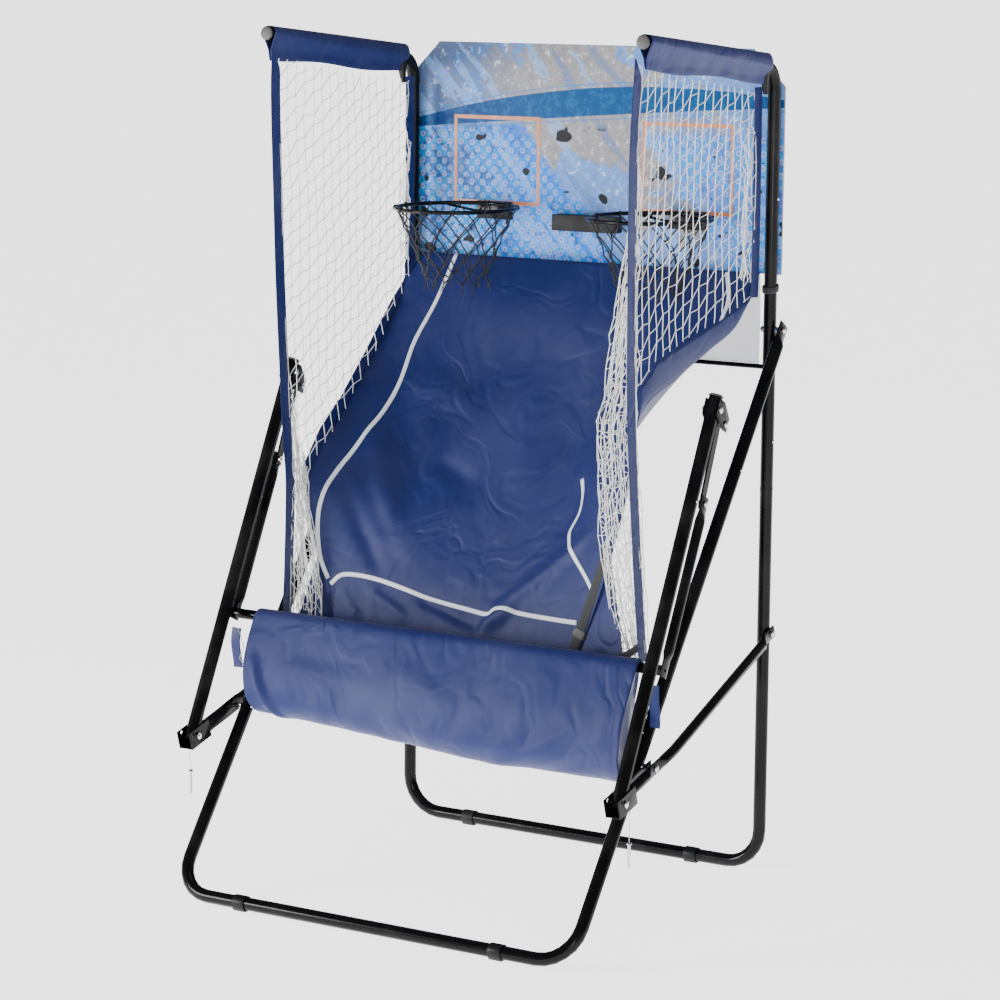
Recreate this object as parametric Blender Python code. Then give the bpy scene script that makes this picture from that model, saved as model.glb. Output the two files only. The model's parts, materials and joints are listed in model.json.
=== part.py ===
"""Folding double-shot basketball game: a tube stand, a backboard with two hoops, side nets, a cloth ramp
and a cloth ball trough. Metres, +Z up, +X to the player's right, the player stands at -Y."""

import math

import bmesh
import bpy
import numpy as np
from mathutils import Vector

# Stand
HALF_WIDTH = 0.518  # middle of an upright from the middle of the stand
TUBE_RADIUS = 0.016
TUBE_WALL = 0.0012
TUBE_BEND = 0.09
REAR_LEAN = math.radians(0.9)
LOWER_SEAM = 0.49  # along the upright from the floor tube
UPPER_SEAM = 1.63
ARM_HEIGHT = 1.95
ARM_BEND = 0.055
ARM_REACH = 0.627
ARM_RISE = math.radians(7.4)
SPIGOT = 0.05
SHOULDER = 0.0001  # length of the step down to a spigot
STAND_PIVOT = 1.326
LINK_PIVOT = 0.583
FRONT_REACH = 0.947
LEG_GAP = 0.002  # between an upright and the leg beside it
LEG_SEAM = 0.98
REAR_BAR_HEIGHT = 1.235
REAR_BAR_RADIUS = 0.006

# Fits
FIT = 0.0003  # between faces that touch
BORE_FIT = 0.0005  # round a shank in its hole

# Feet
FOOT_WALL = 0.003
FOOT_LENGTH = 0.034
FOOT_FLAT = 0.009
FRONT_FOOT_X = 0.36
REAR_FOOT_X = 0.33

# Links, folded arms and gate
LINK_RADIUS = 0.0125
LINK_TAIL = 0.112
ARM_PLANE = 0.600  # middle of the folded arms, across the stand
FOLD_ARM_RADIUS = 0.0165
FOLD_ARM_LENGTH = 0.967
FOLD_ARM_TILT = math.radians(26.4)
FOLD_ARM_FOOT = (-0.820, 0.370)
GATE_RADIUS = 0.0125
GATE_LENGTH = 0.40
STRUT_LENGTH = 0.19
STRUT_HALF = (0.0025, 0.010)
GATE_OFFSET = 0.052  # of the gate's tubes behind the folded arms
TONGUE_HALF = 0.003  # half the thickness of a flattened tube end
TONGUE_LENGTH = 0.045
SHEET_STEEL = 0.002
CHEEK_CLEAR = 0.0008
CHANNEL_AHEAD = 0.030
CHANNEL_BEHIND = 0.050
CHANNEL_DOWN = 0.0240
CHANNEL_UP = 0.0200
WEB_INSET = 0.0008
FORK_OUTLINE = [
    (-0.006, -0.012),
    (-0.006, 0.016),
    (-0.034, 0.052),
    (-0.068, 0.052),
    (-0.068, 0.028),
    (-0.046, -0.012),
]  # along the folded arm from its top, and behind its middle
FORK_WEB = [(-0.020, 0.0225), (-0.0185, 0.0240), (-0.026, 0.0335), (-0.0275, 0.0320)]

# Fasteners
SHANK_RADIUS = 0.0040
HEAD_RADIUS = 0.0085
HEAD_HEIGHT = 0.0050
COLLAR_RADIUS = 0.0075

# Backboard, hoops and scorer
BOARD_HALF = 0.5373
BOARD_BOTTOM = 1.457
BOARD_TOP = 1.9935
BOARD_CHAMFER = 0.088
BOARD_THICKNESS = 0.006
HOOP_X = 0.278
HOOP_RADIUS = 0.150
HOOP_ROD = 0.0050
HOOP_HEIGHT = 0.135  # above the backboard's bottom edge
HOOP_STANDOFF = 0.026
STEM_X = 0.030
PLATE_HALF = (0.052, 0.022)
PLATE_THICKNESS = 0.004
HOOP_NET_DROP = 0.185
HOOP_NET_MOUTH = 0.072
SCORER_HALF = (0.093, 0.020)
SCORER_DEPTH = 0.030
SCORER_HEIGHT = 0.098

# Cloth and nets
CLOTH = 0.003
SLEEVE_HALF = (0.0185, 0.0185, 0.058)  # to the side, above and below the arm's middle
SLEEVE_WALL = 0.0015
SLEEVE_SIDES = 20
SLEEVE_START = 0.062  # from the top arm's corner
SLEEVE_END = 0.006  # from the top arm's front end
SIDE_NET_THICKNESS = 0.002
SIDE_NET_FRONT = -0.585
SIDE_NET_REAR = -0.035
REAR_NET_HALF = 0.490

RAMP_LINE = [
    (-0.040, 1.448),
    (-0.140, 1.240),
    (-0.270, 1.030),
    (-0.390, 0.850),
    (-0.455, 0.740),
    (-0.520, 0.560),
]
SIDE_NET_LAP = 0.004  # of the nets behind the ramp's front face

# Lanyards and lock pins
STRING_RADIUS = 0.0008
STRING_LENGTH = 0.072
PIN_RADIUS = 0.0035
PIN_LENGTH = 0.060
PIN_COLLAR = (0.0065, 0.004)

SIDES = 12
SMALL_SIDES = 10

FLOOR_TUBE_Z = FOOT_WALL + TUBE_RADIUS
LEG_X = HALF_WIDTH + 2 * TUBE_RADIUS + LEG_GAP
MATERIALS = {
    "black_tube": ((0.012, 0.012, 0.014), 0.25, 0.6),
    "zinc": ((0.72, 0.73, 0.75), 0.3, 1.0),
    "black_plastic": ((0.02, 0.02, 0.022), 0.45, 0.0),
    "board": ((0.45, 0.62, 0.80), 0.35, 0.0),
    "navy_cloth": ((0.02, 0.045, 0.18), 0.7, 0.0),
    "white_net": ((0.85, 0.85, 0.83), 0.8, 0.0),
    "black_cord": ((0.02, 0.02, 0.02), 0.8, 0.0),
    "white_cord": ((0.85, 0.85, 0.82), 0.8, 0.0),
}


def clear_scene():
    for obj in list(bpy.data.objects):
        bpy.data.objects.remove(obj)


def material(name):
    found = bpy.data.materials.get(name)
    if found:
        return found
    colour, roughness, metallic = MATERIALS[name]
    made = bpy.data.materials.new(name)
    made.use_nodes = True
    shader = made.node_tree.nodes["Principled BSDF"]
    shader.inputs["Base Color"].default_value = (*colour, 1.0)
    shader.inputs["Roughness"].default_value = roughness
    shader.inputs["Metallic"].default_value = metallic
    made.diffuse_color = (*colour, 1.0)
    return made


def add_object(name, points, faces, finish, smooth=True):
    """One object with its faces turned outwards."""
    mesh = bpy.data.meshes.new(name)
    mesh.from_pydata([tuple(p) for p in points], [], [tuple(f) for f in faces])
    shape = bmesh.new()
    shape.from_mesh(mesh)
    bmesh.ops.recalc_face_normals(shape, faces=shape.faces)
    shape.to_mesh(mesh)
    shape.free()
    if smooth:
        mesh.shade_smooth()
        mesh.set_sharp_from_angle(angle=math.radians(40))
    obj = bpy.data.objects.new(name, mesh)
    bpy.context.scene.collection.objects.link(obj)
    obj.data.materials.append(material(finish))
    return obj


def rear_point(x, along, behind=0.0):
    """A point of the leaning rear frame, by its distance along the upright and behind its middle."""
    sin, cos = math.sin(REAR_LEAN), math.cos(REAR_LEAN)
    return Vector((x, sin * along + cos * behind, FLOOR_TUBE_Z + cos * along - sin * behind))


def rounded(corners, radius, steps=6):
    """The polyline through the corners with each inner corner turned into an arc of the given radius."""
    corners = [Vector(c) for c in corners]
    path = [corners[0]]
    for before, corner, after in zip(corners, corners[1:], corners[2:]):
        inward, outward = (corner - before).normalized(), (after - corner).normalized()
        turn = inward.angle(outward)
        cut = radius * math.tan(turn / 2)
        start = corner - inward * cut
        axis = inward.cross(outward).normalized()
        centre = start + axis.cross(inward) * radius
        for step in range(steps + 1):
            angle = turn * step / steps
            arm = start - centre
            path.append(centre + arm * math.cos(angle) + axis.cross(arm) * math.sin(angle))
    path.append(corners[-1])
    return path


def ring(centre, tangent, across, half, sides):
    """An ellipse of points round the centre: half[0] along across, half[1] the other way, and
    half[2], where it is given, on that way's far side."""
    first = (across - tangent * across.dot(tangent)).normalized()
    second = tangent.cross(first)
    points = []
    for k in range(sides):
        angle = 2 * math.pi * (k + 0.5) / sides
        tall = half[1] if math.sin(angle) > 0 else half[-1]
        points.append(centre + first * (half[0] * math.cos(angle)) + second * (tall * math.sin(angle)))
    return points


def skin(rings, sides, inward=False):
    faces = []
    for row in range(rings - 1):
        for k in range(sides):
            a, b = row * sides + k, row * sides + (k + 1) % sides
            face = (a, b, b + sides, a + sides)
            faces.append(face[::-1] if inward else face)
    return faces


def tube(name, path, across, halves, finish, wall=TUBE_WALL, sides=SIDES):
    """A hollow tube along the path, open at both ends. halves holds each point's two half-sizes."""
    path = [Vector(p) for p in path]
    points, count = [], len(path)
    for shrink in (0.0, wall):
        for k, centre in enumerate(path):
            ahead, behind = path[min(k + 1, count - 1)], path[max(k - 1, 0)]
            tangent = (ahead - behind).normalized()
            half = [size - shrink for size in halves[k]]
            points += ring(centre, tangent, Vector(across), half, sides)
    inner = count * sides
    faces = skin(count, sides)
    faces += [tuple(v + inner for v in face) for face in skin(count, sides, inward=True)]
    for row in (0, (count - 1) * sides):
        for k in range(sides):
            a, b = row + k, row + (k + 1) % sides
            faces.append((a, b, b + inner, a + inner))
    return add_object(name, points, faces, finish)


def same(path, radius):
    return [(radius, radius)] * len(path)


def spigot_tube(name, path, across, radius, finish):
    """A tube whose last end is drawn in to slide into the next one."""
    neck = radius - TUBE_WALL - FIT
    end, before = Vector(path[-1]), Vector(path[-2])
    along = (end - before).normalized()
    path = [*path, end + along * SHOULDER, end + along * SPIGOT]
    halves = same(path[:-2], radius) + [(neck, neck)] * 2
    return tube(name, path, across, halves, finish)


def tongued(start, end, radius, start_tongue, end_tongue):
    """A straight path with its half-sizes: flat, wider tongues stand at the ends that ask for one."""
    start, end = Vector(start), Vector(end)
    along = (end - start).normalized()
    flat = (TONGUE_HALF, radius * 1.35)
    path, halves = [], []
    if start_tongue:
        path += [start, start + along * TONGUE_LENGTH * 0.8, start + along * TONGUE_LENGTH * 1.3]
        halves += [flat, flat, (radius, radius)]
    else:
        path.append(start)
        halves.append((radius, radius))
    if end_tongue:
        path += [end - along * TONGUE_LENGTH * 1.3, end - along * TONGUE_LENGTH * 0.8, end]
        halves += [(radius, radius), flat, flat]
    else:
        path.append(end)
        halves.append((radius, radius))
    return path, halves


def turned(name, centre, profile, finish, side=1, sides=SMALL_SIDES):
    """A solid turned about X through centre (y, z). profile holds (x, radius) from the inside out."""
    points = []
    for x, radius in profile:
        for k in range(sides):
            angle = 2 * math.pi * k / sides
            points.append(
                (side * x, centre[0] + radius * math.cos(angle), centre[1] + radius * math.sin(angle))
            )
    faces = skin(len(profile), sides)
    faces.append(tuple(range(sides)))
    faces.append(tuple(range((len(profile) - 1) * sides, len(profile) * sides)))
    return add_object(name, points, faces, finish)


def prism(name, outline, low, high, finish, smooth=False):
    """A (y, z) outline carried across from x = low to x = high."""
    count = len(outline)
    points = [(x, y, z) for x in (low, high) for y, z in outline]
    faces = [(k, (k + 1) % count, count + (k + 1) % count, count + k) for k in range(count)]
    faces += [tuple(range(count)), tuple(range(count, 2 * count))]
    return add_object(name, points, faces, finish, smooth)


def ring_prism(name, outer, inner, low, high, finish):
    """A pair of (y, z) outlines of as many points carried across: a wall round a hole."""
    count = len(outer)
    points = [(x, y, z) for x in (low, high) for y, z in [*outer, *inner]]
    faces = []
    for k in range(count):
        n = (k + 1) % count
        faces.append((k, n, 2 * count + n, 2 * count + k))
        faces.append((count + k, count + n, 3 * count + n, 3 * count + k))
        for base in (0, 2 * count):
            faces.append((base + k, base + n, base + count + n, base + count + k))
    return add_object(name, points, faces, finish)


def helper(obj):
    obj.hide_render = True
    obj.display_type = "WIRE"
    return obj


def combine(obj, other, operation):
    modifier = obj.modifiers.new(operation.title(), "BOOLEAN")
    modifier.operation = operation
    modifier.object = helper(other)
    modifier.solver = "EXACT"


def bore(obj, centre, side, radius=SHANK_RADIUS + BORE_FIT):
    """A round hole right across the object, along X, at centre (y, z)."""
    middle = side * (HALF_WIDTH + ARM_PLANE) / 2
    profile = [(middle - 0.10, radius), (middle + 0.10, radius)]
    combine(obj, turned("cut_" + obj.name, centre, profile, "zinc"), "DIFFERENCE")


def side_name(side, rest):
    return ("right_" if side > 0 else "left_") + rest


def line_point(start, direction, distance):
    return (start[0] + direction[0] * distance, start[1] + direction[1] * distance)


def direction_to(start, end):
    dy, dz = end[0] - start[0], end[1] - start[1]
    length = math.hypot(dy, dz)
    return (dy / length, dz / length)


def crossing(first, first_dir, second, second_dir):
    """Where two (y, z) lines meet."""
    across = first_dir[0] * second_dir[1] - first_dir[1] * second_dir[0]
    gap = (second[0] - first[0], second[1] - first[1])
    return line_point(first, first_dir, (gap[0] * second_dir[1] - gap[1] * second_dir[0]) / across)


STAND_AXIS = tuple(rear_point(0, STAND_PIVOT))[1:]
LINK_REAR = tuple(rear_point(0, LINK_PIVOT))[1:]
FRONT_CORNER = (-FRONT_REACH, FLOOR_TUBE_Z)
LEG_DIR = direction_to(FRONT_CORNER, STAND_AXIS)
LINK_DIR = direction_to(FOLD_ARM_FOOT, LINK_REAR)
LINK_AXIS = crossing(FRONT_CORNER, LEG_DIR, FOLD_ARM_FOOT, LINK_DIR)
FOLD_DIR = (math.sin(FOLD_ARM_TILT), math.cos(FOLD_ARM_TILT))
FOLD_BACK = (math.cos(FOLD_ARM_TILT), -math.sin(FOLD_ARM_TILT))
FOLD_TOP = line_point(FOLD_ARM_FOOT, FOLD_DIR, FOLD_ARM_LENGTH)
FOLD_TOP_BOLT = line_point(FOLD_TOP, FOLD_DIR, -0.030)
GATE_AXIS = line_point(line_point(FOLD_TOP, FOLD_DIR, -0.052), FOLD_BACK, GATE_OFFSET * 0.75)
GATE_TOP = line_point(line_point(FOLD_TOP, FOLD_DIR, -0.052 - STRUT_LENGTH), FOLD_BACK, GATE_OFFSET)
GATE_FOOT = line_point(GATE_TOP, FOLD_DIR, -GATE_LENGTH)
GATE_PLANE = ARM_PLANE + STRUT_HALF[0] + FIT + TONGUE_HALF
CHEEK_INNER = FOLD_ARM_RADIUS + CHEEK_CLEAR
SLEEVE_SIDE = HALF_WIDTH - SLEEVE_HALF[0] * math.cos(math.pi / SLEEVE_SIDES)
SIDE_NET_X = SLEEVE_SIDE - FIT - SIDE_NET_THICKNESS / 2
RAMP_HALF = SIDE_NET_X - SIDE_NET_THICKNESS / 2 - FIT
TROUGH_HALF = HALF_WIDTH - TUBE_RADIUS - 0.0006


def rear_frame():
    right, left = HALF_WIDTH, -HALF_WIDTH
    corners = [
        rear_point(left, LOWER_SEAM),
        rear_point(left, 0),
        rear_point(right, 0),
        rear_point(right, LOWER_SEAM),
    ]
    path = rounded(corners, TUBE_BEND)
    up = (path[-1] - path[-2]).normalized()
    neck = TUBE_RADIUS - TUBE_WALL - FIT
    necks = [path[0] + up * SPIGOT, path[0] + up * SHOULDER]
    path = [*necks, *path, path[-1] + up * SHOULDER, path[-1] + up * SPIGOT]
    halves = [(neck, neck)] * 2 + same(path[2:-2], TUBE_RADIUS) + [(neck, neck)] * 2
    tube("rear_floor_bar", path, (0, 1, 0), halves, "black_tube")
    for side in (-1, 1):
        x = side * HALF_WIDTH
        seam_gap = FIT
        path = [rear_point(x, LOWER_SEAM + seam_gap), rear_point(x, UPPER_SEAM)]
        upright = spigot_tube(side_name(side, "upright"), path, (1, 0, 0), TUBE_RADIUS, "black_tube")
        bore(upright, STAND_AXIS, side)
        top = rear_point(x, ARM_HEIGHT)
        reach = Vector((0, -math.cos(ARM_RISE), math.sin(ARM_RISE))) * ARM_REACH
        path = rounded([rear_point(x, UPPER_SEAM + seam_gap), top, top + reach], ARM_BEND)
        tube(side_name(side, "top_arm"), path, (1, 0, 0), same(path, TUBE_RADIUS), "black_tube")
    bar_end = HALF_WIDTH - TUBE_RADIUS - FIT
    path = [rear_point(-bar_end, REAR_BAR_HEIGHT), rear_point(bar_end, REAR_BAR_HEIGHT)]
    tube("rear_cross_bar", path, (0, 1, 0), same(path, REAR_BAR_RADIUS), "black_tube", sides=SMALL_SIDES)


def backboard():
    front = TUBE_RADIUS + FIT
    outline = [
        (-BOARD_HALF, BOARD_BOTTOM),
        (BOARD_HALF, BOARD_BOTTOM),
        (BOARD_HALF, BOARD_TOP - BOARD_CHAMFER),
        (BOARD_HALF - BOARD_CHAMFER, BOARD_TOP),
        (-BOARD_HALF + BOARD_CHAMFER, BOARD_TOP),
        (-BOARD_HALF, BOARD_TOP - BOARD_CHAMFER),
    ]
    count = len(outline)
    points = [
        rear_point(x, along, behind) for behind in (front, front + BOARD_THICKNESS) for x, along in outline
    ]
    faces = [(k, (k + 1) % count, count + (k + 1) % count, count + k) for k in range(count)]
    faces += [tuple(range(count)), tuple(range(count, 2 * count))]
    add_object("backboard", points, faces, "board", smooth=False)


def board_box(name, x, along, half, near, far, finish):
    """A box on the backboard's front: near and far are distances behind the uprights' middle."""
    points = [
        rear_point(x + sx * half[0], along + sz * half[1], behind)
        for behind in (near, far)
        for sx, sz in ((-1, -1), (1, -1), (1, 1), (-1, 1))
    ]
    faces = [(0, 1, 2, 3), (4, 5, 6, 7), (0, 1, 5, 4), (1, 2, 6, 5), (2, 3, 7, 6), (3, 0, 4, 7)]
    return add_object(name, points, faces, finish, smooth=False)


def hoop(side):
    """A rod rim with its mounting plate behind it and a cord net hung below it."""
    face = TUBE_RADIUS
    plate_front = face - PLATE_THICKNESS
    along = BOARD_BOTTOM + HOOP_HEIGHT
    x = side * HOOP_X
    plate_along = along - PLATE_HALF[1] + HOOP_ROD
    board_box(side_name(side, "hoop_plate"), x, plate_along, PLATE_HALF, plate_front, face, "black_tube")
    centre = rear_point(x, along, plate_front - FIT - HOOP_STANDOFF - HOOP_RADIUS)
    points, turns, sides = [], 32, 8
    for k in range(turns):
        angle = 2 * math.pi * k / turns
        radial = Vector((math.sin(angle), math.cos(angle), 0))
        points += ring(centre + radial * HOOP_RADIUS, radial.cross(Vector((0, 0, 1))), Vector((0, 0, 1)),
                       (HOOP_ROD, HOOP_ROD), sides)
    faces = skin(turns, sides)
    for k in range(sides):
        a, b = (turns - 1) * sides + k, (turns - 1) * sides + (k + 1) % sides
        faces.append((a, b, (k + 1) % sides, k))
    rim = add_object(side_name(side, "hoop_rim"), points, faces, "black_tube")
    for arm in (-1, 1):
        foot = rear_point(x + arm * STEM_X, along, plate_front - FIT)
        head = centre + Vector((arm * STEM_X, math.sqrt(HOOP_RADIUS**2 - STEM_X**2), 0))
        path = [foot, head]
        rod = []
        for point in path:
            rod += ring(point, (head - foot).normalized(), Vector((0, 0, 1)), (0.004, 0.004), sides)
        ends = [tuple(range(sides)), tuple(range(sides, 2 * sides))]
        stem = add_object("add_" + side_name(side, "stem"), rod, skin(2, sides) + ends, "black_tube")
        combine(rim, stem, "UNION")
    hoop_net(side, centre)


def hoop_net(side, centre):
    drop, steps = HOOP_NET_DROP, 4
    top = centre - Vector((0, 0, HOOP_ROD + FIT))
    points, turns = [], 16
    for wall in (0.0, 0.002):
        for row in range(steps + 1):
            share = row / steps
            radius = HOOP_RADIUS + (HOOP_NET_MOUTH - HOOP_RADIUS) * share**0.8 - wall
            for k in range(turns):
                angle = 2 * math.pi * k / turns
                across = Vector((math.cos(angle), math.sin(angle), 0)) * radius
                points.append(top + across - Vector((0, 0, drop * share)))
    inner = (steps + 1) * turns
    faces = skin(steps + 1, turns)
    faces += [tuple(v + inner for v in face) for face in skin(steps + 1, turns, inward=True)]
    for row in (0, steps * turns):
        for k in range(turns):
            a, b = row + k, row + (k + 1) % turns
            faces.append((a, b, b + inner, a + inner))
    add_object(side_name(side, "hoop_net"), points, faces, "black_cord")


def scorer():
    along = BOARD_BOTTOM + SCORER_HEIGHT
    near = TUBE_RADIUS - SCORER_DEPTH
    board_box("scorer_housing", 0, along, SCORER_HALF, near, TUBE_RADIUS, "black_plastic")


def circle(centre, radius, count, turn=0.0):
    angles = [2 * math.pi * k / count + turn for k in range(count)]
    return [(centre[0] + radius * math.cos(a), centre[1] + radius * math.sin(a)) for a in angles]


def foot(name, x, y):
    """A plastic clip round a floor tube, with a flat face below."""
    count = 16
    bore_radius = (TUBE_RADIUS + FIT) / math.cos(math.pi / count)
    inner = circle((y, FLOOR_TUBE_Z), bore_radius, count, math.pi / count)
    outer = []
    for py, pz in circle((y, FLOOR_TUBE_Z), TUBE_RADIUS + FOOT_WALL, count, math.pi / count):
        if pz < FLOOR_TUBE_Z - TUBE_RADIUS * 0.9:
            pz = 0.0
            py = y + math.copysign(FOOT_FLAT, py - y)
        outer.append((py, pz))
    ring_prism(name, outer, inner, x - FOOT_LENGTH / 2, x + FOOT_LENGTH / 2, "black_plastic")


def feet():
    for side in (-1, 1):
        foot(side_name(side, "rear_foot"), side * REAR_FOOT_X, rear_point(0, 0)[1])
        foot(side_name(side, "front_foot"), side * FRONT_FOOT_X, FRONT_CORNER[0])


def bolt(name, centre, head_at, nut_at, side, collars=()):
    """A bolt along X from its head outside to its nut inside, with the spacers that it carries."""
    inner, outer = nut_at - FIT, head_at + FIT
    profile = [
        (inner - HEAD_HEIGHT - 0.003, SHANK_RADIUS * 0.8),
        (inner - HEAD_HEIGHT, SHANK_RADIUS),
        (inner - HEAD_HEIGHT, HEAD_RADIUS * 0.9),
        (inner, HEAD_RADIUS * 0.9),
        (inner, SHANK_RADIUS),
    ]
    for low, high in collars:
        low, high = low + FIT, high - FIT
        profile += [(low, SHANK_RADIUS), (low, COLLAR_RADIUS), (high, COLLAR_RADIUS), (high, SHANK_RADIUS)]
    profile += [
        (outer, SHANK_RADIUS),
        (outer, HEAD_RADIUS),
        (outer + HEAD_HEIGHT * 0.6, HEAD_RADIUS),
        (outer + HEAD_HEIGHT, HEAD_RADIUS * 0.6),
    ]
    turned(side_name(side, name), centre, profile, "zinc", side)


def front_stand():
    foot_left = Vector((-LEG_X, *FRONT_CORNER))
    foot_right = Vector((LEG_X, *FRONT_CORNER))
    up = Vector((0, *LEG_DIR))
    path = rounded([foot_left + up * LEG_SEAM, foot_left, foot_right, foot_right + up * LEG_SEAM], TUBE_BEND)
    neck = TUBE_RADIUS - TUBE_WALL - FIT
    necks = [path[0] + up * SPIGOT, path[0] + up * SHOULDER]
    path = [*necks, *path, path[-1] + up * SHOULDER, path[-1] + up * SPIGOT]
    halves = [(neck, neck)] * 2 + same(path[2:-2], TUBE_RADIUS) + [(neck, neck)] * 2
    normal = up.cross(Vector((1, 0, 0)))
    base = tube("front_floor_bar", path, normal, halves, "black_tube")
    leg_length = math.dist(FRONT_CORNER, STAND_AXIS)
    for side in (-1, 1):
        bore(base, LINK_AXIS, side)
        start = Vector((side * LEG_X, *FRONT_CORNER)) + up * (LEG_SEAM + FIT)
        end = Vector((side * LEG_X, *FRONT_CORNER)) + up * (leg_length + 0.016)
        path, halves = tongued(start, end, TUBE_RADIUS, False, True)
        leg = tube(side_name(side, "leg"), path, (1, 0, 0), halves, "black_tube")
        bore(leg, STAND_AXIS, side)
        bracket(side)
        inside = HALF_WIDTH - TUBE_RADIUS
        spacer = (HALF_WIDTH + TUBE_RADIUS, LEG_X - TONGUE_HALF)
        bolt("stand_bolt", STAND_AXIS, LEG_X + TONGUE_HALF, inside, side, [spacer])


def slab(name, start, along, span, height, low, high, side):
    """A flat plate in a plane across X: span along the link's direction, height square to it."""
    square = (-along[1], along[0])
    corners = [(span[0], height[0]), (span[1], height[0]), (span[1], height[1]), (span[0], height[1])]
    outline = [line_point(line_point(start, along, a), square, b) for a, b in corners]
    return prism(name, outline, side * low, side * high, "black_tube")


def bracket(side):
    """A sheet steel channel for the folded arm's foot, with a strap that reaches back to the leg."""
    inner = (ARM_PLANE - CHEEK_INNER - SHEET_STEEL, ARM_PLANE - CHEEK_INNER)
    outer = (ARM_PLANE + CHEEK_INNER, ARM_PLANE + CHEEK_INNER + SHEET_STEEL)
    reach = math.dist(FOLD_ARM_FOOT, LINK_AXIS) + 0.016
    height = (-CHANNEL_DOWN, CHANNEL_UP)
    name = side_name(side, "bracket")
    made = slab(name, FOLD_ARM_FOOT, LINK_DIR, (-CHANNEL_AHEAD, CHANNEL_BEHIND), height, *inner, side)
    strap = (0.010, reach), (-0.012, 0.012)
    web_foot = -CHANNEL_DOWN + WEB_INSET
    web = (-CHANNEL_AHEAD + WEB_INSET, 0.022), (web_foot, web_foot + SHEET_STEEL)
    cheek = (-CHANNEL_AHEAD, CHANNEL_BEHIND), height
    for tag, (span, tall), (low, high) in (
        ("strap", strap, (inner[0] + 0.0002, inner[1] - 0.0002)),
        ("web", web, (inner[0] + 0.0005, outer[1] - 0.0005)),
        ("cheek", cheek, outer),
    ):
        piece = slab("add_" + name + "_" + tag, FOLD_ARM_FOOT, LINK_DIR, span, tall, low, high, side)
        combine(made, piece, "UNION")
    for centre in (FOLD_ARM_FOOT, LINK_AXIS, lock_hole()):
        bore(made, centre, side)


def lock_hole():
    return line_point(line_point(FOLD_ARM_FOOT, LINK_DIR, -0.014), (-LINK_DIR[1], LINK_DIR[0]), 0.012)


def side_links():
    """The links between the uprights and the front legs. Their rear eyes stand beside the uprights."""
    rear_x = HALF_WIDTH + TUBE_RADIUS + FIT + TONGUE_HALF + 0.001
    back = (-LINK_DIR[0], -LINK_DIR[1])
    length = math.dist(LINK_REAR, LINK_AXIS)
    for side in (-1, 1):
        stations = [
            (-0.016, rear_x, "flat"),
            (0.030, rear_x, "flat"),
            (0.062, rear_x + 0.009, "round"),
            (length - 0.090, ARM_PLANE, "round"),
            (length - 0.040, ARM_PLANE, "round"),
            (length - 0.018, ARM_PLANE, "flat"),
            (length + 0.018, ARM_PLANE, "flat"),
            (length + 0.040, ARM_PLANE, "round"),
            (length + LINK_TAIL, ARM_PLANE, "round"),
        ]
        path, halves = [], []
        for distance, x, form in stations:
            y, z = line_point(LINK_REAR, back, distance)
            path.append((side * x, y, z))
            flat = (TONGUE_HALF, LINK_RADIUS * 1.3)
            halves.append(flat if form == "flat" else (LINK_RADIUS, LINK_RADIUS))
        link = tube(side_name(side, "side_link"), path, (1, 0, 0), halves, "black_tube")
        bore(link, LINK_REAR, side)
        bore(link, LINK_AXIS, side)
        strap = (ARM_PLANE - CHEEK_INNER - SHEET_STEEL, ARM_PLANE - CHEEK_INNER)
        spacers = [(LEG_X + TUBE_RADIUS, strap[0]), (strap[1], ARM_PLANE - TONGUE_HALF)]
        bolt("link_bolt", LINK_AXIS, ARM_PLANE + TONGUE_HALF, LEG_X - TUBE_RADIUS, side, spacers)
        eye_bolt(side, rear_x)


def eye_bolt(side, rear_x):
    """The bolt in a link's rear eye, ending at the upright."""
    face = rear_x + TONGUE_HALF + FIT
    profile = [
        (HALF_WIDTH + TUBE_RADIUS + FIT, SHANK_RADIUS),
        (face, SHANK_RADIUS),
        (face, HEAD_RADIUS),
        (face + HEAD_HEIGHT * 0.6, HEAD_RADIUS),
        (face + HEAD_HEIGHT, HEAD_RADIUS * 0.6),
    ]
    turned(side_name(side, "eye_bolt"), LINK_REAR, profile, "zinc", side)


def folded_arms():
    for side in (-1, 1):
        x = side * ARM_PLANE
        low = line_point(FOLD_ARM_FOOT, FOLD_DIR, -0.012)
        path = [(x, *low), (x, *FOLD_TOP)]
        arm = tube(side_name(side, "folded_arm"), path, (1, 0, 0), same(path, FOLD_ARM_RADIUS), "black_tube")
        bore(arm, FOLD_ARM_FOOT, side)
        bore(arm, FOLD_TOP_BOLT, side)
        arm_fork(side)
        cheek = CHEEK_INNER + SHEET_STEEL
        bolt("arm_bolt", FOLD_ARM_FOOT, ARM_PLANE + cheek, ARM_PLANE - cheek, side)
        bolt("fork_bolt", FOLD_TOP_BOLT, ARM_PLANE + cheek, ARM_PLANE - cheek, side)


def arm_fork(side):
    """Two plates beside the folded arm's top, joined behind it, that hold the gate's pivot."""
    inner = (ARM_PLANE - CHEEK_INNER - SHEET_STEEL, ARM_PLANE - CHEEK_INNER)
    outer = (ARM_PLANE + CHEEK_INNER, ARM_PLANE + CHEEK_INNER + SHEET_STEEL)
    name = side_name(side, "arm_fork")
    outline = [line_point(line_point(FOLD_TOP, FOLD_DIR, a), FOLD_BACK, b) for a, b in FORK_OUTLINE]
    made = prism(name, outline, side * inner[0], side * inner[1], "black_tube")
    other = prism("add_" + name, outline, side * outer[0], side * outer[1], "black_tube")
    combine(made, other, "UNION")
    web = [line_point(line_point(FOLD_TOP, FOLD_DIR, a), FOLD_BACK, b) for a, b in FORK_WEB]
    low, high = inner[0] + WEB_INSET / 2, outer[1] - WEB_INSET / 2
    piece = prism("add_" + name + "_web", web, side * low, side * high, "black_tube")
    combine(made, piece, "UNION")
    bore(made, FOLD_TOP_BOLT, side)
    bore(made, GATE_AXIS, side)


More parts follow.
